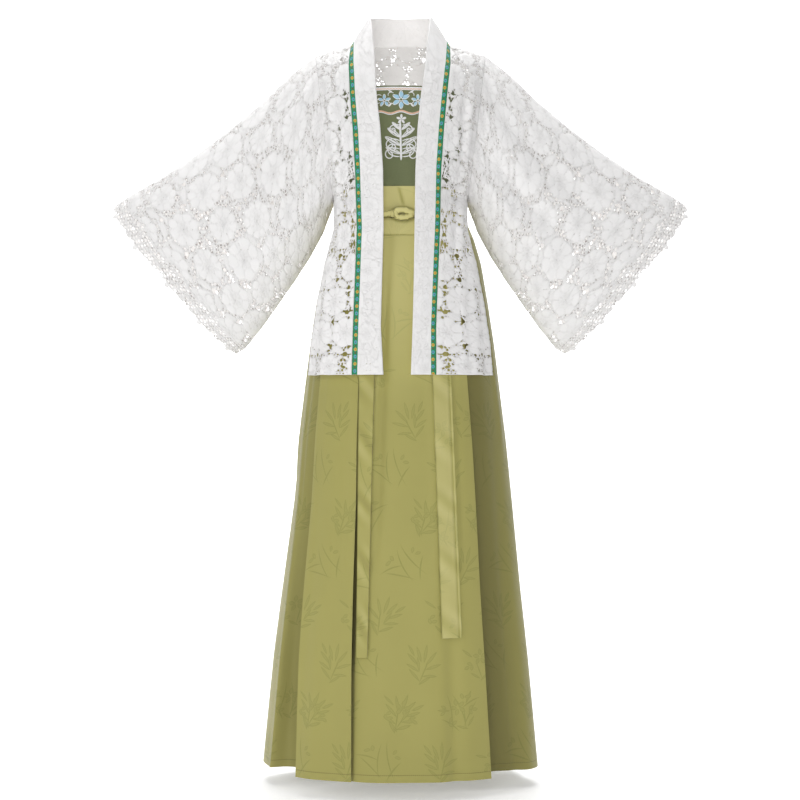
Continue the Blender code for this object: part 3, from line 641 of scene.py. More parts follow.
def jacket_point(ridge, x_share, drop, side):
    """A point of the jacket. The plan at each drop is the ellipse y = deep sqrt(1 - (x / half)^2), which
    rolls in to the ridge at the top, and half is such that the ellipse meets the armhole's edge."""
    tip_x = SHOULDER_TIP[0]
    z = ridge * (1 - drop / JACKET_LENGTH) - drop
    deep = column(JACKET_SECTIONS, "front" if side < 0 else "back", -np.asarray(drop, float))
    fall = np.clip(1 - drop / SHOULDER_ROLL, 0, 1)
    deep = deep * np.sqrt(1 - fall**2)
    share = np.clip(drop / ARM_DROP, 0, 1)
    above = drop < ARM_DROP
    edge = np.where(above, tip_x + (UNDERARM[0] - tip_x) * share, column(JACKET_SECTIONS, "edge", z))
    arm_deep = ARMHOLE_DEPTH * np.sqrt(np.maximum(1 - (1 - 2 * share) ** 2, 0))
    with_arm = edge / np.sqrt(np.maximum(1 - (arm_deep / np.maximum(deep, 1e-9)) ** 2, 1e-6))
    half = np.where(above, with_arm, np.maximum(column(JACKET_SECTIONS, "half", z), edge))
    x = x_share(edge)
    y = side * deep * np.sqrt(np.maximum(1 - (x / half) ** 2, 0))
    return np.stack(np.broadcast_arrays(x, y, z), axis=-1)


def jacket_folds(points, drop, edge_share):
    """Soft upright folds that start at the underarm and at the shoulder, d exp(-((x - c) / w)^2) for each."""
    x = np.abs(points[..., 0])
    out = np.zeros(x.shape)
    for centre, lean, width, depth, top, foot in (
        (0.128, -0.10, 0.0060, 0.0040, 0.05, 0.30),
        (0.112, -0.06, 0.0065, -0.0034, 0.07, 0.36),
        (0.100, 0.02, 0.0070, 0.0026, 0.12, 0.52),
        (0.122, 0.04, 0.0080, 0.0034, 0.32, 0.60),
        (0.140, 0.05, 0.0070, -0.0030, 0.40, 0.62),
    ):
        where = centre + lean * (drop - top)
        life = smooth_step((drop - top) / 0.06) * (1 - smooth_step((drop - foot) / 0.10))
        out = out + depth * life * np.exp(-(((x - where) / width) ** 2))
    return out * smooth_step(edge_share / 0.12) * smooth_step((1 - edge_share) / 0.10)


def hemmed(cloth, row, col, rows, columns):
    """The cloth with no holes in a narrow hem all round it."""
    ends = np.minimum(np.minimum(row, rows - row), np.minimum(col, columns - col))
    return np.maximum(cloth, HEMMED - ends)


def build_front(name, side):
    """One front, from the neckband's seam to the armhole and the open side."""
    rows = UPPER_CELLS + LOWER_CELLS
    row = np.linspace(0, rows, rows * STEPS_IN_CELL + 1)[:, None]
    col = np.linspace(0, FRONT_CELLS, FRONT_CELLS * STEPS_IN_CELL + 1)[None, :]
    row, col = np.broadcast_arrays(row, col)
    drop = row_drop(row, JACKET_SECTIONS["front"][0], RIDGE_START)
    share = col / FRONT_CELLS
    seam = column(FRONT_EDGES, "trim_r" if side < 0 else "trim_l", drop) + RIBBON_WIDTH / 2 + SEAM_GAP
    ridge = SHOULDER_TIP[1] * share
    points = jacket_point(ridge, lambda edge: seam + (edge - SEAM_GAP - seam) * share, drop, -1)
    points = points * (side, 1, 1)
    core = points * (0, 0, 1)
    points = points + facing(points, core) * jacket_folds(points, drop, share)[..., None]
    openness = 1.0 - 0.35 * share
    cloth, height, stitch = lace(row, col, openness, both_kinds=True, last_gap=rows - 0.5, size=0.94)
    cloth = hemmed(cloth, row, col, rows, FRONT_CELLS)
    piece = lace_piece(name + "_lace", points, core, row, col, cloth, height, stitch)
    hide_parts(name)


def build_back():
    """The back, in one piece from side to side, with the neck hollowed out."""
    rows = UPPER_CELLS + LOWER_CELLS
    neck = NECK_HALF / SHOULDER_TIP[0]
    outer = np.linspace(neck, 1, FRONT_CELLS + 1)
    shares = np.concatenate([-outer[::-1], np.linspace(-neck, neck, 7)[1:-1], outer])
    columns = len(shares) - 1
    row = np.linspace(0, rows, rows * STEPS_BEHIND + 1)[:, None]
    col = np.linspace(0, columns, columns * STEPS_BEHIND + 1)[None, :]
    row, col = np.broadcast_arrays(row, col)
    share = np.interp(col, np.arange(columns + 1), shares)
    top_x = share * SHOULDER_TIP[0]
    neck_y = NECK_BACK_DEPTH * np.sqrt(np.maximum(1 - (top_x / NECK_HALF) ** 2, 0))
    drop = row_drop(row, JACKET_SECTIONS["back"][0], np.maximum(neck_y, RIDGE_START))
    outside = SHOULDER_TIP[1] * (np.abs(top_x) - NECK_HALF) / (SHOULDER_TIP[0] - NECK_HALF)
    ridge = np.where(np.abs(top_x) < NECK_HALF, NECK_BACK_RISE * (1 - (top_x / NECK_HALF) ** 2), outside)
    points = jacket_point(ridge, lambda edge: (edge - SEAM_GAP) * share, drop, 1)
    core = points * (0, 0, 1)
    points = points + facing(points, core) * jacket_folds(points, drop, 1 - np.abs(share))[..., None]
    cloth, height, stitch = lace(row, col, openness=0.75, both_kinds=False, last_gap=rows - 0.5)
    cloth = hemmed(cloth, row, col, rows, columns)
    piece = lace_piece("jacket_back_lace", points, core, row, col, cloth, height, stitch)
    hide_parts("jacket_back")


build_back()
build_front("jacket_front_right", -1)
build_front("jacket_front_left", 1)


# Neckband. One long strip of close lace, almost without holes, stands up round the neck as a low collar and
# runs down both fronts to the hem. A narrow woven ribbon lies along its seam: green, with rings and dots.
COLLAR_HALF = 0.053
COLLAR_RISE = 0.052
COLLAR_FADE = 0.045
COLLAR_BACK_LEAN = 0.80
COLLAR_BACK_DIP = 0.004
BAND_CELLS = 1.75
BAND_PLACES = 260
RIBBON_LIFT = 0.0005
RIBBON_WALL = 0.0009
RIBBON_REPEAT = 0.0248
RIBBON_GREEN = (0.020, 0.27, 0.115)
RIBBON_RIM = (0.015, 0.17, 0.075)
RING_BLUE = (0.10, 0.44, 0.50)
RING_YELLOW = (0.56, 0.47, 0.09)
RING_MIDDLE = (0.72, 0.20, 0.03)
RING_PURPLE = (0.12, 0.12, 0.30)
RIBBON_DOT = (0.20, 0.035, 0.015)


def band_lines(count):
    """The band's seam edge and free edge, from the right front's hem round the neck to the left's, and the
    length along the seam. Both lie on the front's surface; the collar rises as 0.052 exp(-(drop / 0.045)^2)
    and stands at full height behind."""
    row = np.linspace(0, UPPER_CELLS + LOWER_CELLS, count)
    drops = row_drop(row, JACKET_SECTIONS["front"][0], RIDGE_START)
    fronts = []
    for side, trim, free_name in ((-1, "trim_r", "open_r"), (1, "trim_l", "open_l")):
        seam_x = column(FRONT_EDGES, trim, drops) + RIBBON_WIDTH / 2 - SEAM_GAP
        seam = jacket_point(0.0, lambda edge: seam_x, drops, -1)
        free = jacket_point(0.0, lambda edge: column(FRONT_EDGES, free_name, drops), drops, -1)
        free[:, 2] += COLLAR_RISE * np.exp(-((drops / COLLAR_FADE) ** 2))
        fronts.append((seam * (side, 1, 1), free * (side, 1, 1)))
    x = np.linspace(-NECK_HALF, NECK_HALF, 61)[1:-1]
    depth = JACKET_SECTIONS["back"][0]
    neck_y = NECK_BACK_DEPTH * np.sqrt(1 - (x / NECK_HALF) ** 2)
    drop = SHOULDER_ROLL * (1 - np.sqrt(1 - (neck_y / depth) ** 2))
    rise = NECK_BACK_RISE * (1 - (x / NECK_HALF) ** 2)
    back = np.stack([x, neck_y - SEAM_GAP, rise * (1 - drop / JACKET_LENGTH) - drop], axis=1)
    share = np.abs(x) / NECK_HALF
    free = back * (COLLAR_HALF / NECK_HALF, COLLAR_BACK_LEAN, 1)
    free[:, 2] += COLLAR_RISE - COLLAR_BACK_DIP * (1 - share)
    seam = np.concatenate([fronts[0][0][::-1], back, fronts[1][0]])
    free = np.concatenate([fronts[0][1][::-1], free, fronts[1][1]])
    length = np.concatenate([[0], np.cumsum(np.linalg.norm(np.diff(seam, axis=0), axis=1))])
    return seam, free, length


def at_lengths(line, length, wanted):
    """Points of a line at the wanted lengths along it."""
    return np.stack([np.interp(wanted, length, line[:, k]) for k in range(3)], axis=1)


def build_band():
    """The band's cloth from the seam to the free edge, with a low crown of sin(pi s)^0.8 across it."""
    seam, free, length = band_lines(BAND_PLACES)
    rows = round(length[-1] / LACE_CELL * STEPS_BEHIND)
    wanted = np.linspace(0, length[-1], rows + 1)
    seam, free = at_lengths(seam, length, wanted), at_lengths(free, length, wanted)
    across = np.linspace(0, 1, round(BAND_CELLS * STEPS_IN_CELL) + 1)
    crown = 0.0011 * np.sin(math.pi * across) ** 0.8
    points = seam[:, None] + (free - seam)[:, None] * across[None, :, None]
    core = points * (0.2, 0.3, 1.0)
    normals = facing(points, core)
    points = points + normals * crown[None, :, None]
    row, col = np.broadcast_arrays(wanted[:, None] / LACE_CELL, across[None, :] * BAND_CELLS)
    cloth, height, stitch = lace(row, col + 0.62, openness=0.30, both_kinds=False, last_gap=-1.0, size=0.86)
    ends = np.minimum(np.minimum(row, row.max() - row), np.minimum(col - 0.42, BAND_CELLS - col))
    edge = ends < 0.06
    cloth = np.where(edge, np.maximum(cloth, 0.05), cloth)
    height = np.where(edge, 0.6, height)
    piece = lace_piece("neckband_lace", points, core, row, col, cloth, 0.40 + 0.52 * height, stitch)
    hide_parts("neckband")


ribbon_material, ribbon_shader, ribbon_u, ribbon_v, _ = new_material("ribbon", 0.5, 0.15)


def paint_ribbon():
    """u runs across the ribbon from 0 to its width and v along it. Every half repeat holds a ring, blue and
    yellow by turns, and a dot stands between each two."""
    half = RIBBON_REPEAT / 2
    across = ribbon_u - RIBBON_WIDTH / 2
    near = ((ribbon_v / half).fraction() - 0.5) * half
    turn = ((ribbon_v / RIBBON_REPEAT).fraction() - 0.5).step(-0.001, 0.001)
    rho = (across * across + near * near * 0.8).root()
    between = ((ribbon_v / half + 0.5).fraction() - 0.5) * half
    dot = (across * across + between * between).root()
    rim = abs(across).step(0.0040, 0.0047)
    colour = rim.mixed(RIBBON_GREEN, RIBBON_RIM)
    colour = (1.0 - dot.step(0.0008, 0.0015)).mixed(colour, RIBBON_DOT)
    colour = (1.0 - rho.step(0.0025, 0.0032)).mixed(colour, turn.mixed(RING_BLUE, RING_YELLOW))
    colour = (1.0 - rho.step(0.0009, 0.0015)).mixed(colour, turn.mixed(RING_PURPLE, RING_MIDDLE))
    weave = ribbon_v.wave(0.0007) * ribbon_u.wave(0.0009)
    colour = (weave * 0.12 + 0.12).mixed(colour, (0.01, 0.02, 0.01))
    raised = (1.0 - rho.step(0.0024, 0.0038)) * 0.6 + (1.0 - dot.step(0.0006, 0.0016)) * 0.4 + weave * 0.2
    finish_material(ribbon_shader, ribbon_u, colour, bump=raised, distance=0.0003)


def grid_faces(rows, columns, ring=False):
    """All quads of a grid of points, closed round its columns for a ring."""
    number = np.arange(rows * columns).reshape(rows, columns)
    if ring:
        number = np.concatenate([number, number[:, :1]], axis=1)
    return [round_cells(number)]


def cloth_piece(name, outer, normals, wall, uv, material, ring=False, shade=None):
    """A thin closed shell of cloth: the outer grid, and the same grid moved in by the wall. shade paints
    shade into its colour above 0, as deep behind a pleat, and paints light into it below 0."""
    rows, columns = outer.shape[:2]
    points, inner = outer.reshape(-1, 3), (outer - normals * wall).reshape(-1, 3)
    faces = turned_out(grid_faces(rows, columns, ring), points, normals.reshape(-1, 3))
    round_u = uv[0, -1, 0] - uv[0, 0, 0] if ring else None
    facts = [("shade", np.zeros(len(points)) if shade is None else shade.ravel())]
    piece = shell(name, points, inner, faces, uv.reshape(-1, 2), facts, round_u)
    piece.data.set_sharp_from_angle(angle=math.radians(50))
    piece.data.materials.append(material)
    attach(piece, "root")
    return piece


def build_ribbon():
    """A strip of the ribbon's width from the seam towards the free edge, raised 0.35 mm along its middle."""
    seam, free, length = band_lines(BAND_PLACES)
    wanted = np.linspace(0, length[-1], 420)
    seam, free = at_lengths(seam, length, wanted), at_lengths(free, length, wanted)
    width = np.linalg.norm(free - seam, axis=1, keepdims=True)
    across = np.linspace(0, 1, 7)
    strip = seam[:, None] + ((free - seam) / width * RIBBON_WIDTH)[:, None] * across[None, :, None]
    normals = facing(strip, strip * (0.2, 0.3, 1.0))
    crown = 0.00035 * np.sin(math.pi * across)[None, :, None]
    strip = strip + normals * (LACE_RAISED + RIBBON_LIFT + crown)
    uv = np.stack(np.broadcast_arrays(across[None, :] * RIBBON_WIDTH, wanted[:, None]), axis=-1)
    paint_ribbon()
    piece = cloth_piece("neck_ribbon_woven", strip, normals, RIBBON_WALL, uv, ribbon_material)
    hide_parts("neck_ribbon")


build_band()
build_ribbon()


# Skirt. A long wrap of olive jacquard in three widths under one band: a front panel, an over panel that laps
# it on the wearer's right, and one wide panel round the sides and back. The cloth hangs in soft folds.
BAND_TOP = -0.256
BELT_TOP = -0.2965
BELT_FOOT = -0.3120
BAND_FOOT = -0.342
SKIRT_HEM = -1.269
TUCK_DEPTH = 0.0026
TUCK_FLAT = 9.0
TUCK_RAMP = 12.0
CLOTH_WALL = 0.0011
SKIRT_STEP = 0.0090
FRONT_STEP_SHARE = 0.4
HEM_RADIUS = 0.21
OLIVE = (0.375, 0.345, 0.100)
# This colour is painted light, mixed in where the cloth's shade fact is below 0.
OLIVE_PAINTED_LIGHT = (0.66, 0.61, 0.27)
OLIVE_DEEP = (0.265, 0.245, 0.070)
OLIVE_PATTERN = (0.255, 0.262, 0.072)
# Painted shade, mixed in where the cloth's shade fact is above 0; it also darkens the sunken hem stitches.
OLIVE_SHADE = (0.105, 0.092, 0.022)
HEM_STITCH = 0.0125
UV_START = 3.0
SKIRT_SECTIONS = {
    "z": (-0.256, -0.2965, -0.312, -0.342, -0.384, -0.457, -0.529, -0.696, -0.802, -0.949, -1.080, -1.269),
    "half": (0.103, 0.110, 0.114, 0.1245, 0.1380, 0.1510, 0.1615, 0.1814, 0.1910, 0.2067, 0.2213, 0.2386),
    "deep": (0.088, 0.092, 0.094, 0.099, 0.105, 0.115, 0.124, 0.138, 0.144, 0.152, 0.159, 0.169),
    "shift": (0.002, 0.003, 0.0035, 0.0055, 0.0045, 0.004, 0.004, 0.0035, 0.0034, 0.0004, -0.001, -0.0016),
}
BACK_FOLDS = (
    (62, 7, -0.010, -0.50), (84, 8, 0.006, -0.45), (106, 7, -0.009, -0.42), (127, 8, 0.010, -0.48),
    (149, 8, -0.011, -0.40), (170, 7, 0.009, -0.45), (193, 8, -0.010, -0.42), (214, 8, 0.011, -0.46),
    (236, 7, -0.009, -0.40), (257, 8, 0.010, -0.44), (278, 8, -0.007, -0.50), (297, 6, -0.006, -0.60),
)
SIDE_RECESS = ((40, 38, 0.056, -0.45), (312, 36, 0.078, -0.45))
# Painted shade on the back panel's sides near the front panels: the edge in degrees, its span round the side
# and its strength.
SIDE_SHADE = ((40, 62, 0.74), (312, 52, 0.36))
OVER_EDGE = (-29, -20)
# Heights between which the painted shadow beside the over panel's edge is darkest, where that edge gapes, and
# how softly it fades.
GAPE_TOP = -0.76
GAPE_FOOT = -1.05
GAPE_FADE = 0.06
FRONT_FOLDS = ((-25, 4.5, -0.014, -0.55), (4, 9, -0.004, -0.50), (24, 4, -0.006, -0.60))
OVER_FOLDS = ((-52, 3, 0.004, -0.40), (-40, 6, 0.003, -0.70))

olive_material, olive_shader, olive_u, olive_v, olive_place = new_material("olive_jacquard", 0.62, 0.25)


def spray(p, q, leaves):
    """A spray of lens leaves: the most of b - b x^2 / a^2 - |y| for them all, each in its own turned axes.
    A leaf is its place x, y, its turn in degrees, and half its length a and width b, in millimetres."""
    total = None
    for x, y, degrees, length, width in leaves:
        turn, length, width = math.radians(degrees), length * 0.001, width * 0.001
        away_x, away_y = p - x * 0.001, q - y * 0.001
        along = away_x * math.cos(turn) + away_y * math.sin(turn)
        across = away_y * math.cos(turn) - away_x * math.sin(turn)
        lens = width - along * along * (width / length**2) - abs(across)
        total = lens if total is None else total.most(lens)
    return total


def jacquard(u, v):
    """The tonal repeat: rows of sprays 82 mm apart, every second row moved by half the 104 mm between
    sprays and turned over, with blossom clusters, bamboo leaves and long grass by turns."""
    high, wide, smaller = 0.082, 0.104, 0.78
    line = (v / high).floor()
    odd = (line * 0.5).fraction() * 2.0
    q = ((v / high).fraction() - 0.5) * high
    shifted = u / wide + odd * 0.5 + line * 0.13
    cell = shifted.floor()
    p = (shifted.fraction() - 0.5) * wide * (1.0 - 2.0 * odd)
    lean = (cell * 2.4 + line * 5.3).sin() * 0.45
    p, q = (p * lean.cos() - q * lean.sin()) * smaller, (p * lean.sin() + q * lean.cos()) * smaller
    bamboo = spray(p, q + p * p * 4.0, (
        (1, 16, 82, 12, 2), (9, 13, 58, 11, 1.9), (-8, 12, 112, 12, 1.9), (15, 5, 36, 11, 1.8),
        (-14, 3, 140, 12, 1.8), (6, 0, 66, 10, 1.7), (-4, -6, 96, 17, 0.7), (12, -6, 20, 10, 1.7),
        (-13, -10, 158, 10, 1.6), (7, -15, 34, 11, 1.6), (-8, -18, 128, 10, 1.6), (20, 16, 48, 9, 1.5),
    ))
    blossom = spray(p, q, (
        (6, 10, 10, 4.8, 2.6), (0, 15, 82, 4.6, 2.6), (-6, 10, 154, 4.8, 2.6), (-4, 3, 226, 4.6, 2.6),
        (4, 3, 298, 4.6, 2.6), (16, 0, 20, 4.2, 2.2), (13, -5, 100, 4, 2.2), (20, -5, 160, 4, 2.2),
        (-16, -2, 40, 4.2, 2.2), (-19, -8, 120, 4, 2.2), (-13, -8, 200, 4, 2.2), (2, -9, 70, 12, 0.6),
        (-20, 14, 150, 9, 1.5), (19, 14, 38, 9, 1.5), (8, -16, 30, 8, 1.4), (-6, -18, 140, 8, 1.4),
    ))
    grass = spray(p + q * q * 7.0, q + p * p * 9.0, (
        (-10, 8, 66, 24, 0.7), (3, 4, 84, 22, 0.7), (12, -4, 44, 20, 0.7), (-18, -4, 120, 18, 0.7),
        (18, 10, 20, 16, 0.7), (14, 20, 60, 4.5, 2.2), (20, 18, 10, 4.5, 2.2), (-16, 21, 110, 4.5, 2),
        (-22, 16, 160, 4.5, 2),
    ))
    kind, hidden = (cell * 0.3333 + line * 0.41).fraction(), 0.05
    first = bamboo - kind.step(0.36, 0.37) * hidden
    second = blossom - (1.0 - kind.step(0.30, 0.31) * (1.0 - kind.step(0.72, 0.73))) * hidden
    third = grass - (1.0 - kind.step(0.64, 0.65)) * hidden
    return first.most(second).most(third)


def paint_olive():
    """A satin ground with the repeat in a duller weave, faint cross threads, slow darker clouds and a
    stitched hem, with painted shade where the cloth's shade fact is above 0 and painted light where it is
    below 0."""
    pattern = jacquard(olive_u, olive_v)
    cloud = olive_place.noise(7.0, 3.0)
    inside = pattern.step(-0.0004, 0.0002) * (1.0 - 0.62 * pattern.step(0.0004, 0.0009))
    weave = (olive_u * (FULL_TURN / 0.0011) + olive_v * (FULL_TURN / 0.0016)).sin()
    fine = olive_v.wave(0.0008)
    speck = olive_place.noise(900.0, 1.0)
    worn = inside * (0.62 + 0.5 * speck.step(0.3, 0.7)) * 0.82
    shade = olive_u.fact("shade")
    hem = UV_START + SKIRT_HEM + HEM_STITCH
    dashes = olive_u.wave(0.0035).step(-0.6, 0.2)
    stitch = (1.0 - abs(olive_v - hem).step(0.0003, 0.0010)) * (0.45 + 0.4 * dashes)
    colour = worn.mixed(OLIVE, OLIVE_PATTERN)
    colour = (cloud.step(0.3, 0.8) * 0.16).mixed(colour, OLIVE_DEEP)
    colour = (weave * 0.035 + fine * 0.03 + 0.065).mixed(colour, OLIVE_DEEP)
    colour = (stitch * 0.65).mixed(colour, OLIVE_SHADE)
    # Painted light, then painted shade, from the cloth's shade fact.
    colour = (shade * -1.0).mixed(colour, OLIVE_PAINTED_LIGHT)
    colour = shade.mixed(colour, OLIVE_SHADE)
    bump = inside * 0.5 + weave * 0.12 + fine * 0.10 - stitch * 1.2
    rough = 0.56 + 0.16 * inside
    finish_material(olive_shader, olive_u, colour, bump=bump, distance=0.00025, roughness=rough)


paint_olive()


def olive_piece(name, outer, normals, wall, uv, shade, ring=False):
    """A piece of the skirt's cloth."""
    return cloth_piece(name, outer, normals, wall, uv, olive_material, ring, shade)


def oval(sections, z, angle, out=0.0):
    """A point on an oval: (shift + half sin a, -deep cos a, z), with a from the front round the left."""
    half = column(sections, "half", z) + out
    deep = column(sections, "deep", z) + out
    shift = column(sections, "shift", z) if "shift" in sections else 0.0
    return np.stack(np.broadcast_arrays(shift + half * np.sin(angle), -deep * np.cos(angle), z), axis=-1)


def fold_depth(folds, angle, z):
    """The folds' sum of d g exp(-((a - c) / w)^2), where g grows from 0 at its start to 1 at the hem."""
    total = np.zeros(np.broadcast(angle, z).shape)
    for centre, width, depth, start in folds:
        growth = smooth_step((start - z) / (start - SKIRT_HEM)) ** 0.8
        total = total + depth * growth * np.exp(-(((np.degrees(angle) - centre) / width) ** 2))
    return total


def near_front(angle, centre, span):
    """1 at an edge of the back panel, fading round the side: 1 - S((a - c) / w), S being smooth_step."""
    away = (np.degrees(angle) - centre) * (1 if centre < 180 else -1)
    return 1 - smooth_step(away / span)


def recess_depth(angle, z):
    """How far back the sides hang behind the front panels: the sum of d near_front, growing to the hem."""
    total = np.zeros(angle.shape)
    for centre, span, depth, start in SIDE_RECESS:
        growth = smooth_step((start - z) / (start - SKIRT_HEM))
        total = total + depth * growth * near_front(angle, centre, span)
    return total


def tuck(angle, edge):
    """How far an edge lies in under the panel that laps it."""
    away = np.abs(np.degrees(angle - edge))
    return TUCK_DEPTH * (1 - smooth_step((away - TUCK_FLAT) / TUCK_RAMP))


def soft_creases(creases, angle, z):
    """Small creases: d exp(-((a - c - k t) / w)^2) over a span of heights, with t the share down the span."""
    total = np.zeros(np.broadcast(angle, z).shape)
    for centre, drift, width, depth, top, foot in creases:
        t = (top - z) / (top - foot)
        life = smooth_step(t / 0.25) * smooth_step((1 - t) / 0.25)
        total = total + depth * life * np.exp(-(((np.degrees(angle) - centre - drift * t) / width) ** 2))
    return total


def panel_shade(name, angle, z, down):
    """The painted shade of a panel. The back's sides get painted shade where they lie in the shade of the
    front.
    The front panel gets a painted shadow beside the over panel's edge, darkest where that gapes, and painted
    shade along one crease; its top gets painted light."""
    shade = np.zeros(z.shape)
    if name == "skirt_back":
        for centre, span, dark in SIDE_SHADE:
            shade = shade + dark * near_front(angle, centre, span) * smooth_step((-0.33 - z) / 0.10)
    if name == "skirt_front":
        past_edge = np.degrees(angle) - OVER_EDGE[0] - (OVER_EDGE[1] - OVER_EDGE[0]) * down
        gape = smooth_step((GAPE_TOP - z) / GAPE_FADE) * (1 - smooth_step((GAPE_FOOT - z) / GAPE_FADE))
        shade = (0.40 + 0.60 * gape) * (1 - smooth_step((past_edge - 0.2 - 0.5 * gape) / 0.8))
        crease = np.exp(-(((np.degrees(angle) + 9.5 + 3 * down) / 3.0) ** 2))
        shade = shade + 0.14 * crease * smooth_step((z + 0.95) / 0.3) - 0.42 * smooth_step((z + 0.68) / 0.30)
    return shade


def build_panel(name, edges, tucked, folds, creases):
    """One width of the skirt, from the band to the hem, between two edges that are given in degrees at its
    top and its foot. An edge that is lapped by another panel is tucked in."""
    top, foot = BAND_FOOT - SEAM_GAP, SKIRT_HEM
    rows = round((top - foot) / SKIRT_STEP)
    z = np.linspace(top, foot, rows + 1)[:, None]
    down = (z - top) / (foot - top)
    first, last = (math.radians(a) + math.radians(b - a) * down for a, b in edges)
    wide = float(np.max(np.abs(last - first))) * HEM_RADIUS
    step = SKIRT_STEP * (FRONT_STEP_SHARE if name == "skirt_front" else 1.0)
    share = np.linspace(0, 1, round(wide / step) + 1)[None, :]
    angle = first + (last - first) * share
    z = np.broadcast_to(z, angle.shape)
    out = fold_depth(folds, angle, z) + soft_creases(creases, angle, z)
    for under, edge in zip(tucked, (first, last)):
        out = out - under * tuck(angle, edge)
    points = oval(SKIRT_SECTIONS, z, angle, out)
    if name == "skirt_back":
        points[..., 1] += recess_depth(angle, z)
    normals = facing(points, points * (0, 0, 1))
    steps = np.linalg.norm(np.diff(points, axis=1), axis=2)
    length = np.concatenate([np.zeros((rows + 1, 1)), np.cumsum(steps, axis=1)], axis=1)
    centre = length[:, [length.shape[1] // 2]]
    uv = np.stack([length - centre + UV_START, UV_START + z], axis=-1)
    piece = olive_piece(name + "_cloth", points, normals, CLOTH_WALL, uv, panel_shade(name, angle, z, down))
    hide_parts(name)


BACK_CREASES = (
    (70, 3, 2.5, 0.003, -0.36, -0.75), (96, -3, 3, -0.003, -0.35, -0.80), (139, 2, 3, 0.003, -0.36, -0.70),
    (182, -2, 3, -0.003, -0.36, -0.72), (203, 3, 2.5, 0.003, -0.38, -0.85),
    (247, -2, 3, -0.003, -0.36, -0.74), (268, 2, 2.5, 0.003, -0.36, -0.80),
    (288, 2, 2.5, -0.003, -0.38, -0.90),
)
FRONT_CREASES = (
    (-11, -2, 2.4, -0.0046, -0.355, -0.95), (16, 2, 3, 0.0018, -0.40, -1.05),
    (31, 1, 2.0, -0.0020, -0.36, -0.95),
)
OVER_CREASES = ((-54, 4, 1.6, -0.0018, -0.37, -0.95), (-35, 4, 2.2, -0.0020, -0.36, -1.00))
build_panel("skirt_back", ((34, 35), (306, 317)), (1, 1), BACK_FOLDS, BACK_CREASES)
build_panel("skirt_front", ((-36, -28), (41, 41)), (1, 0), FRONT_FOLDS, FRONT_CREASES)
build_panel(
    "skirt_front_right", ((-62, -48), OVER_EDGE), (0, 0), OVER_FOLDS, OVER_CREASES
)


# Waist. A wide band of the skirt's cloth holds the wrap, and a narrow belt lies round it, with a flat knot
# at the front and two long ties that hang down over the skirt.
BELT_WALL = 0.0018
BELT_SHELL = 0.0014
WAIST_RADIUS = 0.11
WAIST_MIDDLE = 0.003
DENT_DEPTH = 0.0016
DENT_ANGLE = 357
DENT_SLANT = 130
KNOT_MIDDLE = (0.0040, -0.3053)
KNOT_HALF = (0.0215, 0.0135)
TIE_WALL = 0.0013
TIE_FOLD = 0.36
TIES = {
    "tie_right": {"x": (-0.053, -0.0655), "width": (0.031, 0.019), "foot": -1.060},
    "tie_left": {"x": (0.060, 0.0875), "width": (0.031, 0.034), "foot": -1.028},
}


def ring_grid(top, foot, rows, columns):
    """Heights and angles of a band all round, which starts and ends behind."""
    z = np.linspace(top, foot, rows)[:, None]
    angle = np.linspace(math.pi, 3 * math.pi, columns, endpoint=False)[None, :]
    return np.broadcast_arrays(z, angle)


def outward(points, middle):
    """Level unit normals of an oval, along (x - middle, 1.3 y), which is close to square on it."""
    normals = points * (1, 1.3, 0) - (middle, 0, 0)
    return normals / np.linalg.norm(normals, axis=2, keepdims=True)


def knot_shadow(points):
    """The painted shadow line round the knot, exp(-((e - 1) / 0.12)^2), where e is 1 on the knot's outline.
    """
    away = (points[..., ::2] - KNOT_MIDDLE) / KNOT_HALF
    e = np.hypot(away[..., 0], away[..., 1])
    return np.exp(-(((e - 1) / 0.12) ** 2)) * (points[..., 1] < 0)


z, angle = ring_grid(BAND_TOP, BAND_FOOT, 44, 240)
wave = 0.0006 * np.sin(9 * angle + 30 * z) * np.sin(math.pi * (z - BAND_FOOT) / (BAND_TOP - BAND_FOOT))
dent = np.exp(-(((np.degrees(angle) - DENT_ANGLE - (BAND_TOP - z) * DENT_SLANT) / 1.6) ** 2))
dent = dent * smooth_step((BAND_TOP - z) / 0.006) * (1 - smooth_step((BAND_TOP - z - 0.028) / 0.01))
hollow = 0.0012 * smooth_step((z - BELT_FOOT + 0.004) / 0.004) * (1 - smooth_step((z - BELT_TOP) / 0.004))
points = oval(SKIRT_SECTIONS, z, angle, wave - DENT_DEPTH * dent - hollow)
uv = np.stack([angle * WAIST_RADIUS + UV_START, z + UV_START], axis=-1)
# Painted light over the whole band, with painted shade in a line along its foot, in the lap's dent and round
# the knot.
shade = -0.62 + np.exp(-(((z - BAND_FOOT) / 0.0016) ** 2)) + 0.6 * dent + 0.6 * knot_shadow(points)
normals = outward(points, WAIST_MIDDLE)
waist = olive_piece("waistband_cloth", points, normals, CLOTH_WALL, uv, shade, ring=True)
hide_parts("waistband")

z, angle = ring_grid(BELT_TOP, BELT_FOOT, 13, 280)
round_edge = 0.0007 * (1 - np.abs((z - (BELT_TOP + BELT_FOOT) / 2) / (BELT_TOP - BELT_FOOT) * 2) ** 3)
points = oval(SKIRT_SECTIONS, z, angle, SEAM_GAP + BELT_WALL - 0.0006 + round_edge)
uv = np.stack([angle * WAIST_RADIUS + UV_START + 0.02, z + UV_START + 0.03], axis=-1)
# Painted light over the whole belt, with painted shade in a line along its foot and round the knot.
shade = -0.60 + 1.2 * np.exp(-(((z - BELT_FOOT) / 0.0022) ** 2)) + 0.8 * knot_shadow(points)
belt = olive_piece("belt_cloth", points, outward(points, WAIST_MIDDLE), BELT_SHELL, uv, shade, ring=True)
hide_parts("belt")


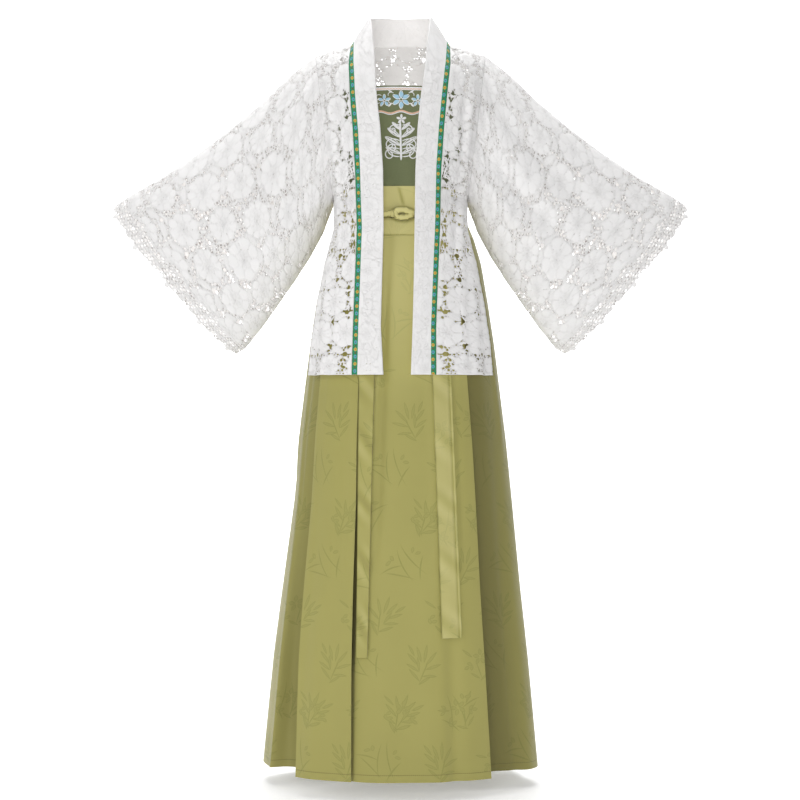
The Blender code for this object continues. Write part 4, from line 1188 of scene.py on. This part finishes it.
def build_tie(name):
    """A flat tie of doubled cloth. It follows the belt and the skirt, and is crumpled in soft slanting dents,
    d (1 + sin(118 z + 4 s + 0.8 sin(23 z))) for s across it, that swell and fade as sin(31 z + 1.3)^2. The
    left one is folded in along a line near its edge."""
    size = TIES[name]
    rows, columns = 150, 23
    z = np.linspace(BELT_TOP, size["foot"], rows)[:, None]
    down = (z - BELT_TOP) / (size["foot"] - BELT_TOP)
    across = np.linspace(-0.5, 0.5, columns)[None, :]
    width = size["width"][0] + (size["width"][1] - size["width"][0]) * down
    middle = size["x"][0] + (size["x"][1] - size["x"][0]) * down
    x = middle + width * across
    z = np.broadcast_to(z, x.shape)
    belt_share = smooth_step((z - BAND_FOOT) / (BELT_FOOT - BAND_FOOT))
    swell = np.sin(math.pi * np.clip((BAND_FOOT - z) / 0.04, 0, 0.5))
    phase = z * 118 + across * 4 + 0.8 * np.sin(z * 23)
    life = np.sin(z * 31 + 1.3) ** 2 * swell
    dents = 0.0013 * (1 + np.sin(phase)) * life
    folded = name == "tie_left"
    edge_fold = 0.0012 * np.exp(-(((across - TIE_FOLD) / 0.07) ** 2)) * folded * swell
    out = 0.0021 + (SEAM_GAP + BELT_WALL) * belt_share + 0.0006 * (1 - belt_share) + dents - edge_fold
    half = column(SKIRT_SECTIONS, "half", z) + out
    shift = column(SKIRT_SECTIONS, "shift", z)
    points = oval(SKIRT_SECTIONS, z, np.arcsin((x - shift) / half), out)
    normals = facing(points, points * (0, 0, 1))
    uv = np.stack([x + UV_START + 0.04, z + UV_START + 0.02], axis=-1)
    # Painted shade and light on the two flanks of each dent, painted shade along both edges and the left
    # tie's fold, and painted light over the rest, more on the left tie.
    shade = 0.26 * np.sin(phase + 1.2) * life - (0.40 if folded else 0.05)
    shade = shade + 0.45 * np.exp(-(((np.abs(across) - 0.5) / 0.035) ** 2))
    shade = np.clip(shade + 0.50 * np.exp(-(((across - TIE_FOLD) / 0.035) ** 2)) * folded, -1, 1)
    piece = olive_piece(name + "_cloth", points, normals, TIE_WALL, uv, shade)
    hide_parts(name)


build_tie("tie_right")
build_tie("tie_left")


def swept(path, normal, wide, high, around=10):
    """A rounded cord along a path, as points, faces and each point's sin(t): at each point of the path the
    ellipse wide cos(t) across and high sin(t) along the normal. Its ends close on their middles."""
    ahead = np.gradient(path, axis=0)
    across = np.cross(ahead, normal)
    across /= np.linalg.norm(across, axis=1, keepdims=True)
    wide, high = np.broadcast_to(wide, len(path)), np.broadcast_to(high, len(path))
    t = np.linspace(0, 2 * math.pi, around, endpoint=False)
    reach = across[:, None] * (wide[:, None] * np.cos(t))[..., None]
    ring = path[:, None] + reach + normal[:, None] * (high[:, None] * np.sin(t))[..., None]
    points = np.concatenate([ring.reshape(-1, 3), path[:1], path[-1:]])
    body = grid_faces(len(path), around, ring=True)[0]
    last = (len(path) - 1) * around
    number, after = np.arange(around), np.roll(np.arange(around), -1)
    first_cap = np.stack([number, after, np.full(around, len(points) - 2)], axis=1)
    last_cap = np.stack([after + last, number + last, np.full(around, len(points) - 1)], axis=1)
    faces = [tuple(face) for group in (body, first_cap, last_cap) for face in group.tolist()]
    a, b, c = points[body[0, 0]], points[body[0, 1]], points[body[0, 2]]
    if np.dot(np.cross(b - a, c - a), a - path[0]) < 0:
        faces = [face[::-1] for face in faces]
    lift = np.concatenate([np.tile(np.sin(t), len(path)), (0.0, 0.0)])
    return points, faces, lift


def joined_cords(name, cords, material):
    """One piece of several cords, with u and v of its map from x and z. Their shade fact paints shade deepest
    where they meet what they lie on, and paints light over their tops."""
    points, faces = [], []
    for cord_points, cord_faces, _ in cords:
        start = sum(len(group) for group in points)
        points.append(cord_points)
        faces += [tuple(corner + start for corner in face) for face in cord_faces]
    points = np.concatenate(points)
    mesh = bpy.data.meshes.new(name)
    mesh.from_pydata(points.tolist(), [], faces)
    mesh.polygons.foreach_set("use_smooth", np.ones(len(faces), bool))
    corners = np.empty(len(mesh.loops), np.int32)
    mesh.loops.foreach_get("vertex_index", corners)
    layer = mesh.uv_layers.new(name="UVMap")
    layer.data.foreach_set("uv", (points[corners][:, [0, 2]] + UV_START).astype(np.float32).ravel())
    depth = np.concatenate([1 - smooth_step(lift / 0.92) for _, _, lift in cords])
    add_fact(mesh, "shade", 2.0 * depth - 0.75)
    mesh.materials.append(material)
    piece = placed(name, mesh)
    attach(piece, "root")
    return piece


def smooth_path(places, count):
    """A soft line near the named places: straight runs between them, evened count / 2 times over its
    neighbours by (1, 2, 1) / 4."""
    line = at_lengths(np.array(places), np.arange(len(places)), np.linspace(0, len(places) - 1, count))
    for _ in range(count // 2):
        line[1:-1] = (line[:-2] + line[1:-1] * 2 + line[2:]) / 4
    return line


# The knot's four strands, in millimetres: x, how far out, and z of their places; half their width and height.
KNOT_STRANDS = (
    (((-32, 0, -306.8), (-22, 1.6, -305.2), (-11, 2.6, -303)), 5.2, 2.4),
    (((-15, 0.5, -310.5), (-12.5, 3, -303), (-2, 4.2, -298.2), (9, 3.5, -299), (17, 2, -302.5),
      (23.5, 0, -306.6)), 5.4, 3.8),
    (((-10, 1, -309), (-2, 3, -311.2), (7, 3.2, -311.8), (15, 2.4, -309), (21.5, 0.6, -305.8)), 5.2, 3.2),
    (((-6, 4, -298), (-8.5, 6.6, -302.5), (-7.5, 5.8, -307.5), (-3, 2, -312)), 4, 2),
)
KNOT_LIFT = 0.0018
KNOT_PLACES = 40
belt_front = column(SKIRT_SECTIONS, "deep", BELT_FOOT) + SEAM_GAP + BELT_WALL + KNOT_LIFT
t = np.linspace(0, 1, KNOT_PLACES)
crumple = 1 + 0.12 * np.sin(23 * t) + 0.07 * np.sin(41 * t + 1)
ends = np.sqrt(np.clip(np.sin(math.pi * np.clip(t, 0.02, 0.98)) * 4, 0, 1))
forward = np.tile((0.0, -1.0, 0.0), (KNOT_PLACES, 1))
strands = []
for places, wide, high in KNOT_STRANDS:
    places = [(x * 0.001, -belt_front - out * 0.001, z * 0.001) for x, out, z in places]
    wide, high = wide * 0.001 * crumple * ends, high * 0.001 * ends
    strands.append(swept(smooth_path(places, KNOT_PLACES), forward, wide, high, 18))
knot = joined_cords("belt_knot_cloth", strands, olive_material)
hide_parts("belt_knot")


# Chest top. A wrapped band of dark green cloth goes round the chest in slow waves, and its foot is tucked
# into the waistband.
CHEST_SECTIONS = {
    "z": (-0.0825, -0.125, -0.170, -0.215),
    "half": (0.112, 0.112, 0.109, 0.105),
    "deep": (0.086, 0.092, 0.0925, 0.0895),
}
CHEST_GREEN = (0.200, 0.226, 0.112)
CHEST_DARK = (0.075, 0.095, 0.040)
CHEST_RADIUS = 0.10
TUCKED_IN = CLOTH_WALL + 2 * SEAM_GAP + 0.0006
chest_material, chest_shader, chest_u, chest_v, chest_place = new_material("chest_cloth", 0.8, 0.2)
cross = chest_u.wave(0.0012) * chest_v.wave(0.0012)
chest_cloud = chest_place.noise(14.0, 3.0).step(0.3, 0.8)
chest_colour = (cross * 0.14 + 0.16 + chest_cloud * 0.25).mixed(CHEST_GREEN, CHEST_DARK)
finish_material(chest_shader, chest_u, chest_colour, bump=cross, distance=0.0002)

chest = {"z": CHEST_SECTIONS["z"] + SKIRT_SECTIONS["z"][:2], "shift": (0.0, 0.0, 0.0, 0.0005, 0.002, 0.003)}
for key in ("half", "deep"):
    chest[key] = CHEST_SECTIONS[key] + tuple(value - TUCKED_IN for value in SKIRT_SECTIONS[key][:2])


def chest_wave(z, angle):
    """Slow waves of the chest cloth: 0.9 mm sin(7a + 22z) sin(4a + 1)."""
    return 0.0009 * np.sin(7 * angle + 22 * z) * np.sin(4 * angle + 1)


z, angle = ring_grid(chest["z"][0], BELT_TOP, 42, 180)
rolled = 0.0005 * np.exp(-(((z - chest["z"][0] + 0.0015) / 0.0016) ** 2))
points = oval(chest, z, angle, chest_wave(z, angle) + rolled)
uv = np.stack([angle * CHEST_RADIUS + UV_START, z + UV_START], axis=-1)
normals = outward(points, 0.0)
top = cloth_piece(
    "chest_top_cloth", points, normals, CLOTH_WALL, uv, chest_material, ring=True
)
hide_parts("chest_top")


# Embroidery on the chest top, sewn in raised thread: a blue blossom with two small ones and leaf sprays, a
# wavy peach piping, and a white sprig with curled tendrils. The top edge is cream with small peach scallops.
# It is laid out in millimetres.
THREAD_HIGH = 0.6
MOTIF_X = 1.0
EDGE_HALF = 85


def thread_material(name, colour):
    """Twisted thread: (1 + sin) / 2 of a slanting wave mixes a darker and the full colour; the darker is
    painted shade in the twist's grooves.
    """
    material, shader, u, v, _ = new_material(name, 0.6, 0.3)
    twist = (u * (FULL_TURN / 0.0007) + v * (FULL_TURN / 0.0009)).sin() * 0.5 + 0.5
    darker = tuple(0.86 * value for value in colour)
    finish_material(shader, u, (0.35 + 0.65 * twist).mixed(darker, colour), bump=twist, distance=0.0002)
    return material


def scroll(x, z, heading, length, bend, wind=0.0, count=26):
    """A curl from x, z: it runs its length while its heading, in degrees, turns by bend t + wind t^2."""
    t = np.linspace(0, 1, count)
    turn = np.radians(heading + bend * t + wind * t**2)
    steps = np.stack([np.cos(turn[:-1]), np.sin(turn[:-1])], axis=1) * length / (count - 1)
    return np.array([x, z]) + np.concatenate([np.zeros((1, 2)), np.cumsum(steps, axis=0)])


def sewn(line, wide, high=THREAD_HIGH):
    """A raised stroke on the chest top along a line of x, z. Its place is on the oval, at the angle
    asin((x - shift) / half), and its ends taper. Width and height are halves."""
    x, z = (line[:, 0] + MOTIF_X) * 0.001, line[:, 1] * 0.001
    half, deep, shift = (column(chest, key, z) for key in ("half", "deep", "shift"))
    angle = np.arcsin((x - shift) / half)
    path = oval(chest, z, angle, chest_wave(z, angle) + 0.0001)
    normal = np.stack([np.sin(angle) / half, -np.cos(angle) / deep, np.zeros_like(angle)], axis=1)
    normal /= np.linalg.norm(normal, axis=1, keepdims=True)
    t = np.linspace(0, 1, len(line))
    taper = np.clip(np.sin(math.pi * np.clip(t, 0.01, 0.99)) * 5, 0, 1) ** 0.5
    return swept(path, normal, wide * 0.001 * taper, high * 0.001 * taper, 8)


def petal(x, z, heading, length, wide):
    """A filled petal or leaf: a stroke whose half width is wide sin(pi t)^0.7."""
    line = scroll(x, z, heading, length, 0.0, count=14)
    return sewn(line, wide * np.sin(math.pi * np.linspace(0.03, 0.97, 14)) ** 0.7, THREAD_HIGH * 1.2)


def blossom(x, z, radius, petals):
    """Filled petals round a middle, their rims in the second list, with a small ring at the middle."""
    filled, rims = [], []
    for k in range(petals):
        heading = 90 + 360 / petals * k
        over, up = radius * math.cos(math.radians(heading)), radius * math.sin(math.radians(heading))
        filled.append(petal(x + over * 0.22, z + up * 0.22, heading, radius * 0.74, radius * 0.27))
        for side in (-1, 1):
            edge = scroll(x + over * 0.2, z + up * 0.2, heading + side * 42, radius * 0.95, -side * 84)
            rims.append(sewn(edge, 0.65))
    rims.append(sewn(scroll(x + radius * 0.16, z, 90, 2 * math.pi * radius * 0.16, 360), 0.5))
    return filled, rims


white_strokes, blue_strokes, peach_strokes = [], [], []
for x, z, radius, petals in ((0, -107.5, 15.5, 6), (-29, -109, 10.8, 5), (29, -109, 10.8, 5)):
    filled, rims = blossom(x, z, radius, petals)
    blue_strokes += filled
    white_strokes += rims
for side in (-1, 1):
    right = 90 - side * 90
    for x, z, lean, length, bend in (
        (9, -112, -35, 18, 70), (13, -96, 35, 14, -80), (34, -106, 10, 20, -60),
        (36, -112, -25, 18, 60), (34, -100, 40, 12, -70), (52, -107, 0, 14, 120),
    ):
        curl = scroll(side * x, z, right + side * lean, length, side * bend, side * bend)
        white_strokes.append(sewn(curl, 0.6))
    for x, z, lean, length, wide in (
        (16, -113, -50, 9, 1.6), (15, -94.5, 25, 8, 1.4), (43, -101, 30, 9, 1.6), (46, -112, -30, 9, 1.6),
        (58, -104, 20, 8, 1.4),
    ):
        white_strokes.append(petal(side * x, z, right + side * lean, length, wide))
x = np.linspace(-EDGE_HALF, EDGE_HALF, 160)
wavy = 2.2 * np.cos(x * 0.170)
peach_strokes.append(sewn(np.stack([x, wavy - 129.0], axis=1), 1.2))
white_strokes.append(sewn(np.stack([x, wavy - 131.2], axis=1), 0.8))
white_strokes.append(sewn(np.stack([x, np.full_like(x, -88.2)], axis=1), 3.2, 0.4))
x = np.linspace(-EDGE_HALF, EDGE_HALF, 460)
loops = 1.3 * np.abs(np.sin(x * 0.620))
peach_strokes.append(sewn(np.stack([x, -86.8 - loops], axis=1), 0.42, 0.8))
peach_strokes.append(sewn(np.stack([x, -89.8 + loops], axis=1), 0.42, 0.8))
white_strokes.append(sewn(scroll(0, -212, 90, 66, 8, -8), 1.9))
filled, rims = blossom(0.5, -141.5, 8, 5)
white_strokes += filled + rims
for side in (-1, 1):
    right = 90 - side * 90
    for z, lean, length, wide in (
        (-201, 24, 27, 1.5), (-187, 30, 30, 1.7), (-173, 36, 27, 1.6), (-160, 42, 19, 1.3),
    ):
        white_strokes.append(petal(side * 1.2, z, right + side * lean, length, wide))
        for bow in (-1, 1):
            rim = scroll(side, z, right + side * (lean + bow * 24), length * 1.06, -side * bow * 48)
            white_strokes.append(sewn(rim, 0.7))
    for z, lean, length, bend, wind in (
        (-206, 2, 62, 30, 400), (-193, 16, 58, -10, -380),
        (-179, 24, 54, -10, -400), (-152, 12, 46, -30, -400),
    ):
        tendril = scroll(side * 2, z, right + side * lean, length, side * bend, side * wind, 40)
        white_strokes.append(sewn(tendril, 1.0))
for colour_name, strokes, colour in (
    ("white", white_strokes, (0.92, 0.92, 0.93)),
    ("blue", blue_strokes, (0.42, 0.68, 0.86)),
    ("peach", peach_strokes, (0.90, 0.56, 0.40)),
):
    material = thread_material("thread_" + colour_name, colour)
    joined_cords("chest_embroidery_" + colour_name, strokes, material)


# The stage: a pale sweep of paper, soft lights in front and above, two that light the paper, and the camera
# level with the set's middle.
def build_stage():
    """A floor that turns up in a quarter circle, 0.9 m in radius, to a wall 6.5 m behind the set."""
    floor, radius, wall = -1.30, 0.9, 6.5
    turns = np.linspace(0.1, math.pi / 2, 12)
    path = [(-6.0, floor), (wall - radius, floor)]
    path += [(wall - radius + radius * math.sin(t), floor + radius - radius * math.cos(t)) for t in turns]
    path += [(wall, 4.0)]
    points = [(x, y, z) for y, z in path for x in (-5, 0, 5)]
    faces = [tuple(group) for group in grid_faces(len(path), 3)[0].tolist()]
    mesh = bpy.data.meshes.new("backdrop")
    mesh.from_pydata(points, [], faces)
    mesh.polygons.foreach_set("use_smooth", np.ones(len(faces), bool))
    paper = bpy.data.materials.new("paper")
    paper.use_nodes = True
    inputs = paper.node_tree.nodes["Principled BSDF"].inputs
    inputs["Base Color"].default_value = (0.90, 0.90, 0.90, 1)
    inputs["Roughness"].default_value = 1.0
    inputs["Emission Color"].default_value = (1, 1, 1, 1)
    inputs["Emission Strength"].default_value = 0.32
    mesh.materials.append(paper)
    sweep = placed("backdrop", mesh)


build_stage()
for name, place, aim, size, power in (
    ("front", (-0.2, -3.6, -0.1), (0, 0, -0.6), 1.4, 42),
    ("key", (-2.4, -2.2, 0.9), (0, 0, -0.6), 1.4, 19),
    ("top", (0.0, -0.6, 2.2), (0, 0, -0.5), 1.8, 9),
    ("floor_light", (0, 0.9, 2.6), (0, 2.4, -0.3), 3.0, 130),
    ("paper_light", (0, 4.2, 2.6), (0, 6.0, -0.5), 3.0, 190),
):
    lamp = bpy.data.lights.new(name, "AREA")
    lamp.shape, lamp.size, lamp.energy = "DISK", size, power
    light = placed(name, lamp)
    light.location = place
    light.rotation_euler = (Vector(aim) - Vector(place)).to_track_quat("-Z", "Y").to_euler()
world = bpy.data.worlds.new("studio")
world.use_nodes = True
world.node_tree.nodes["Background"].inputs["Color"].default_value = (1, 1, 1, 1)
world.node_tree.nodes["Background"].inputs["Strength"].default_value = 0.20
bpy.context.scene.world = world
bpy.context.scene.view_settings.view_transform = "Standard"

camera_data = bpy.data.cameras.new("camera")
camera_data.lens = 83.9
camera_data.sensor_width = 36
camera_data.clip_start, camera_data.clip_end = 0.05, 50
camera = placed("camera", camera_data)
camera.location = (-0.0009, -3.3, -0.6249)
camera.rotation_euler = (math.pi / 2, 0, 0)
bpy.context.scene.camera = camera
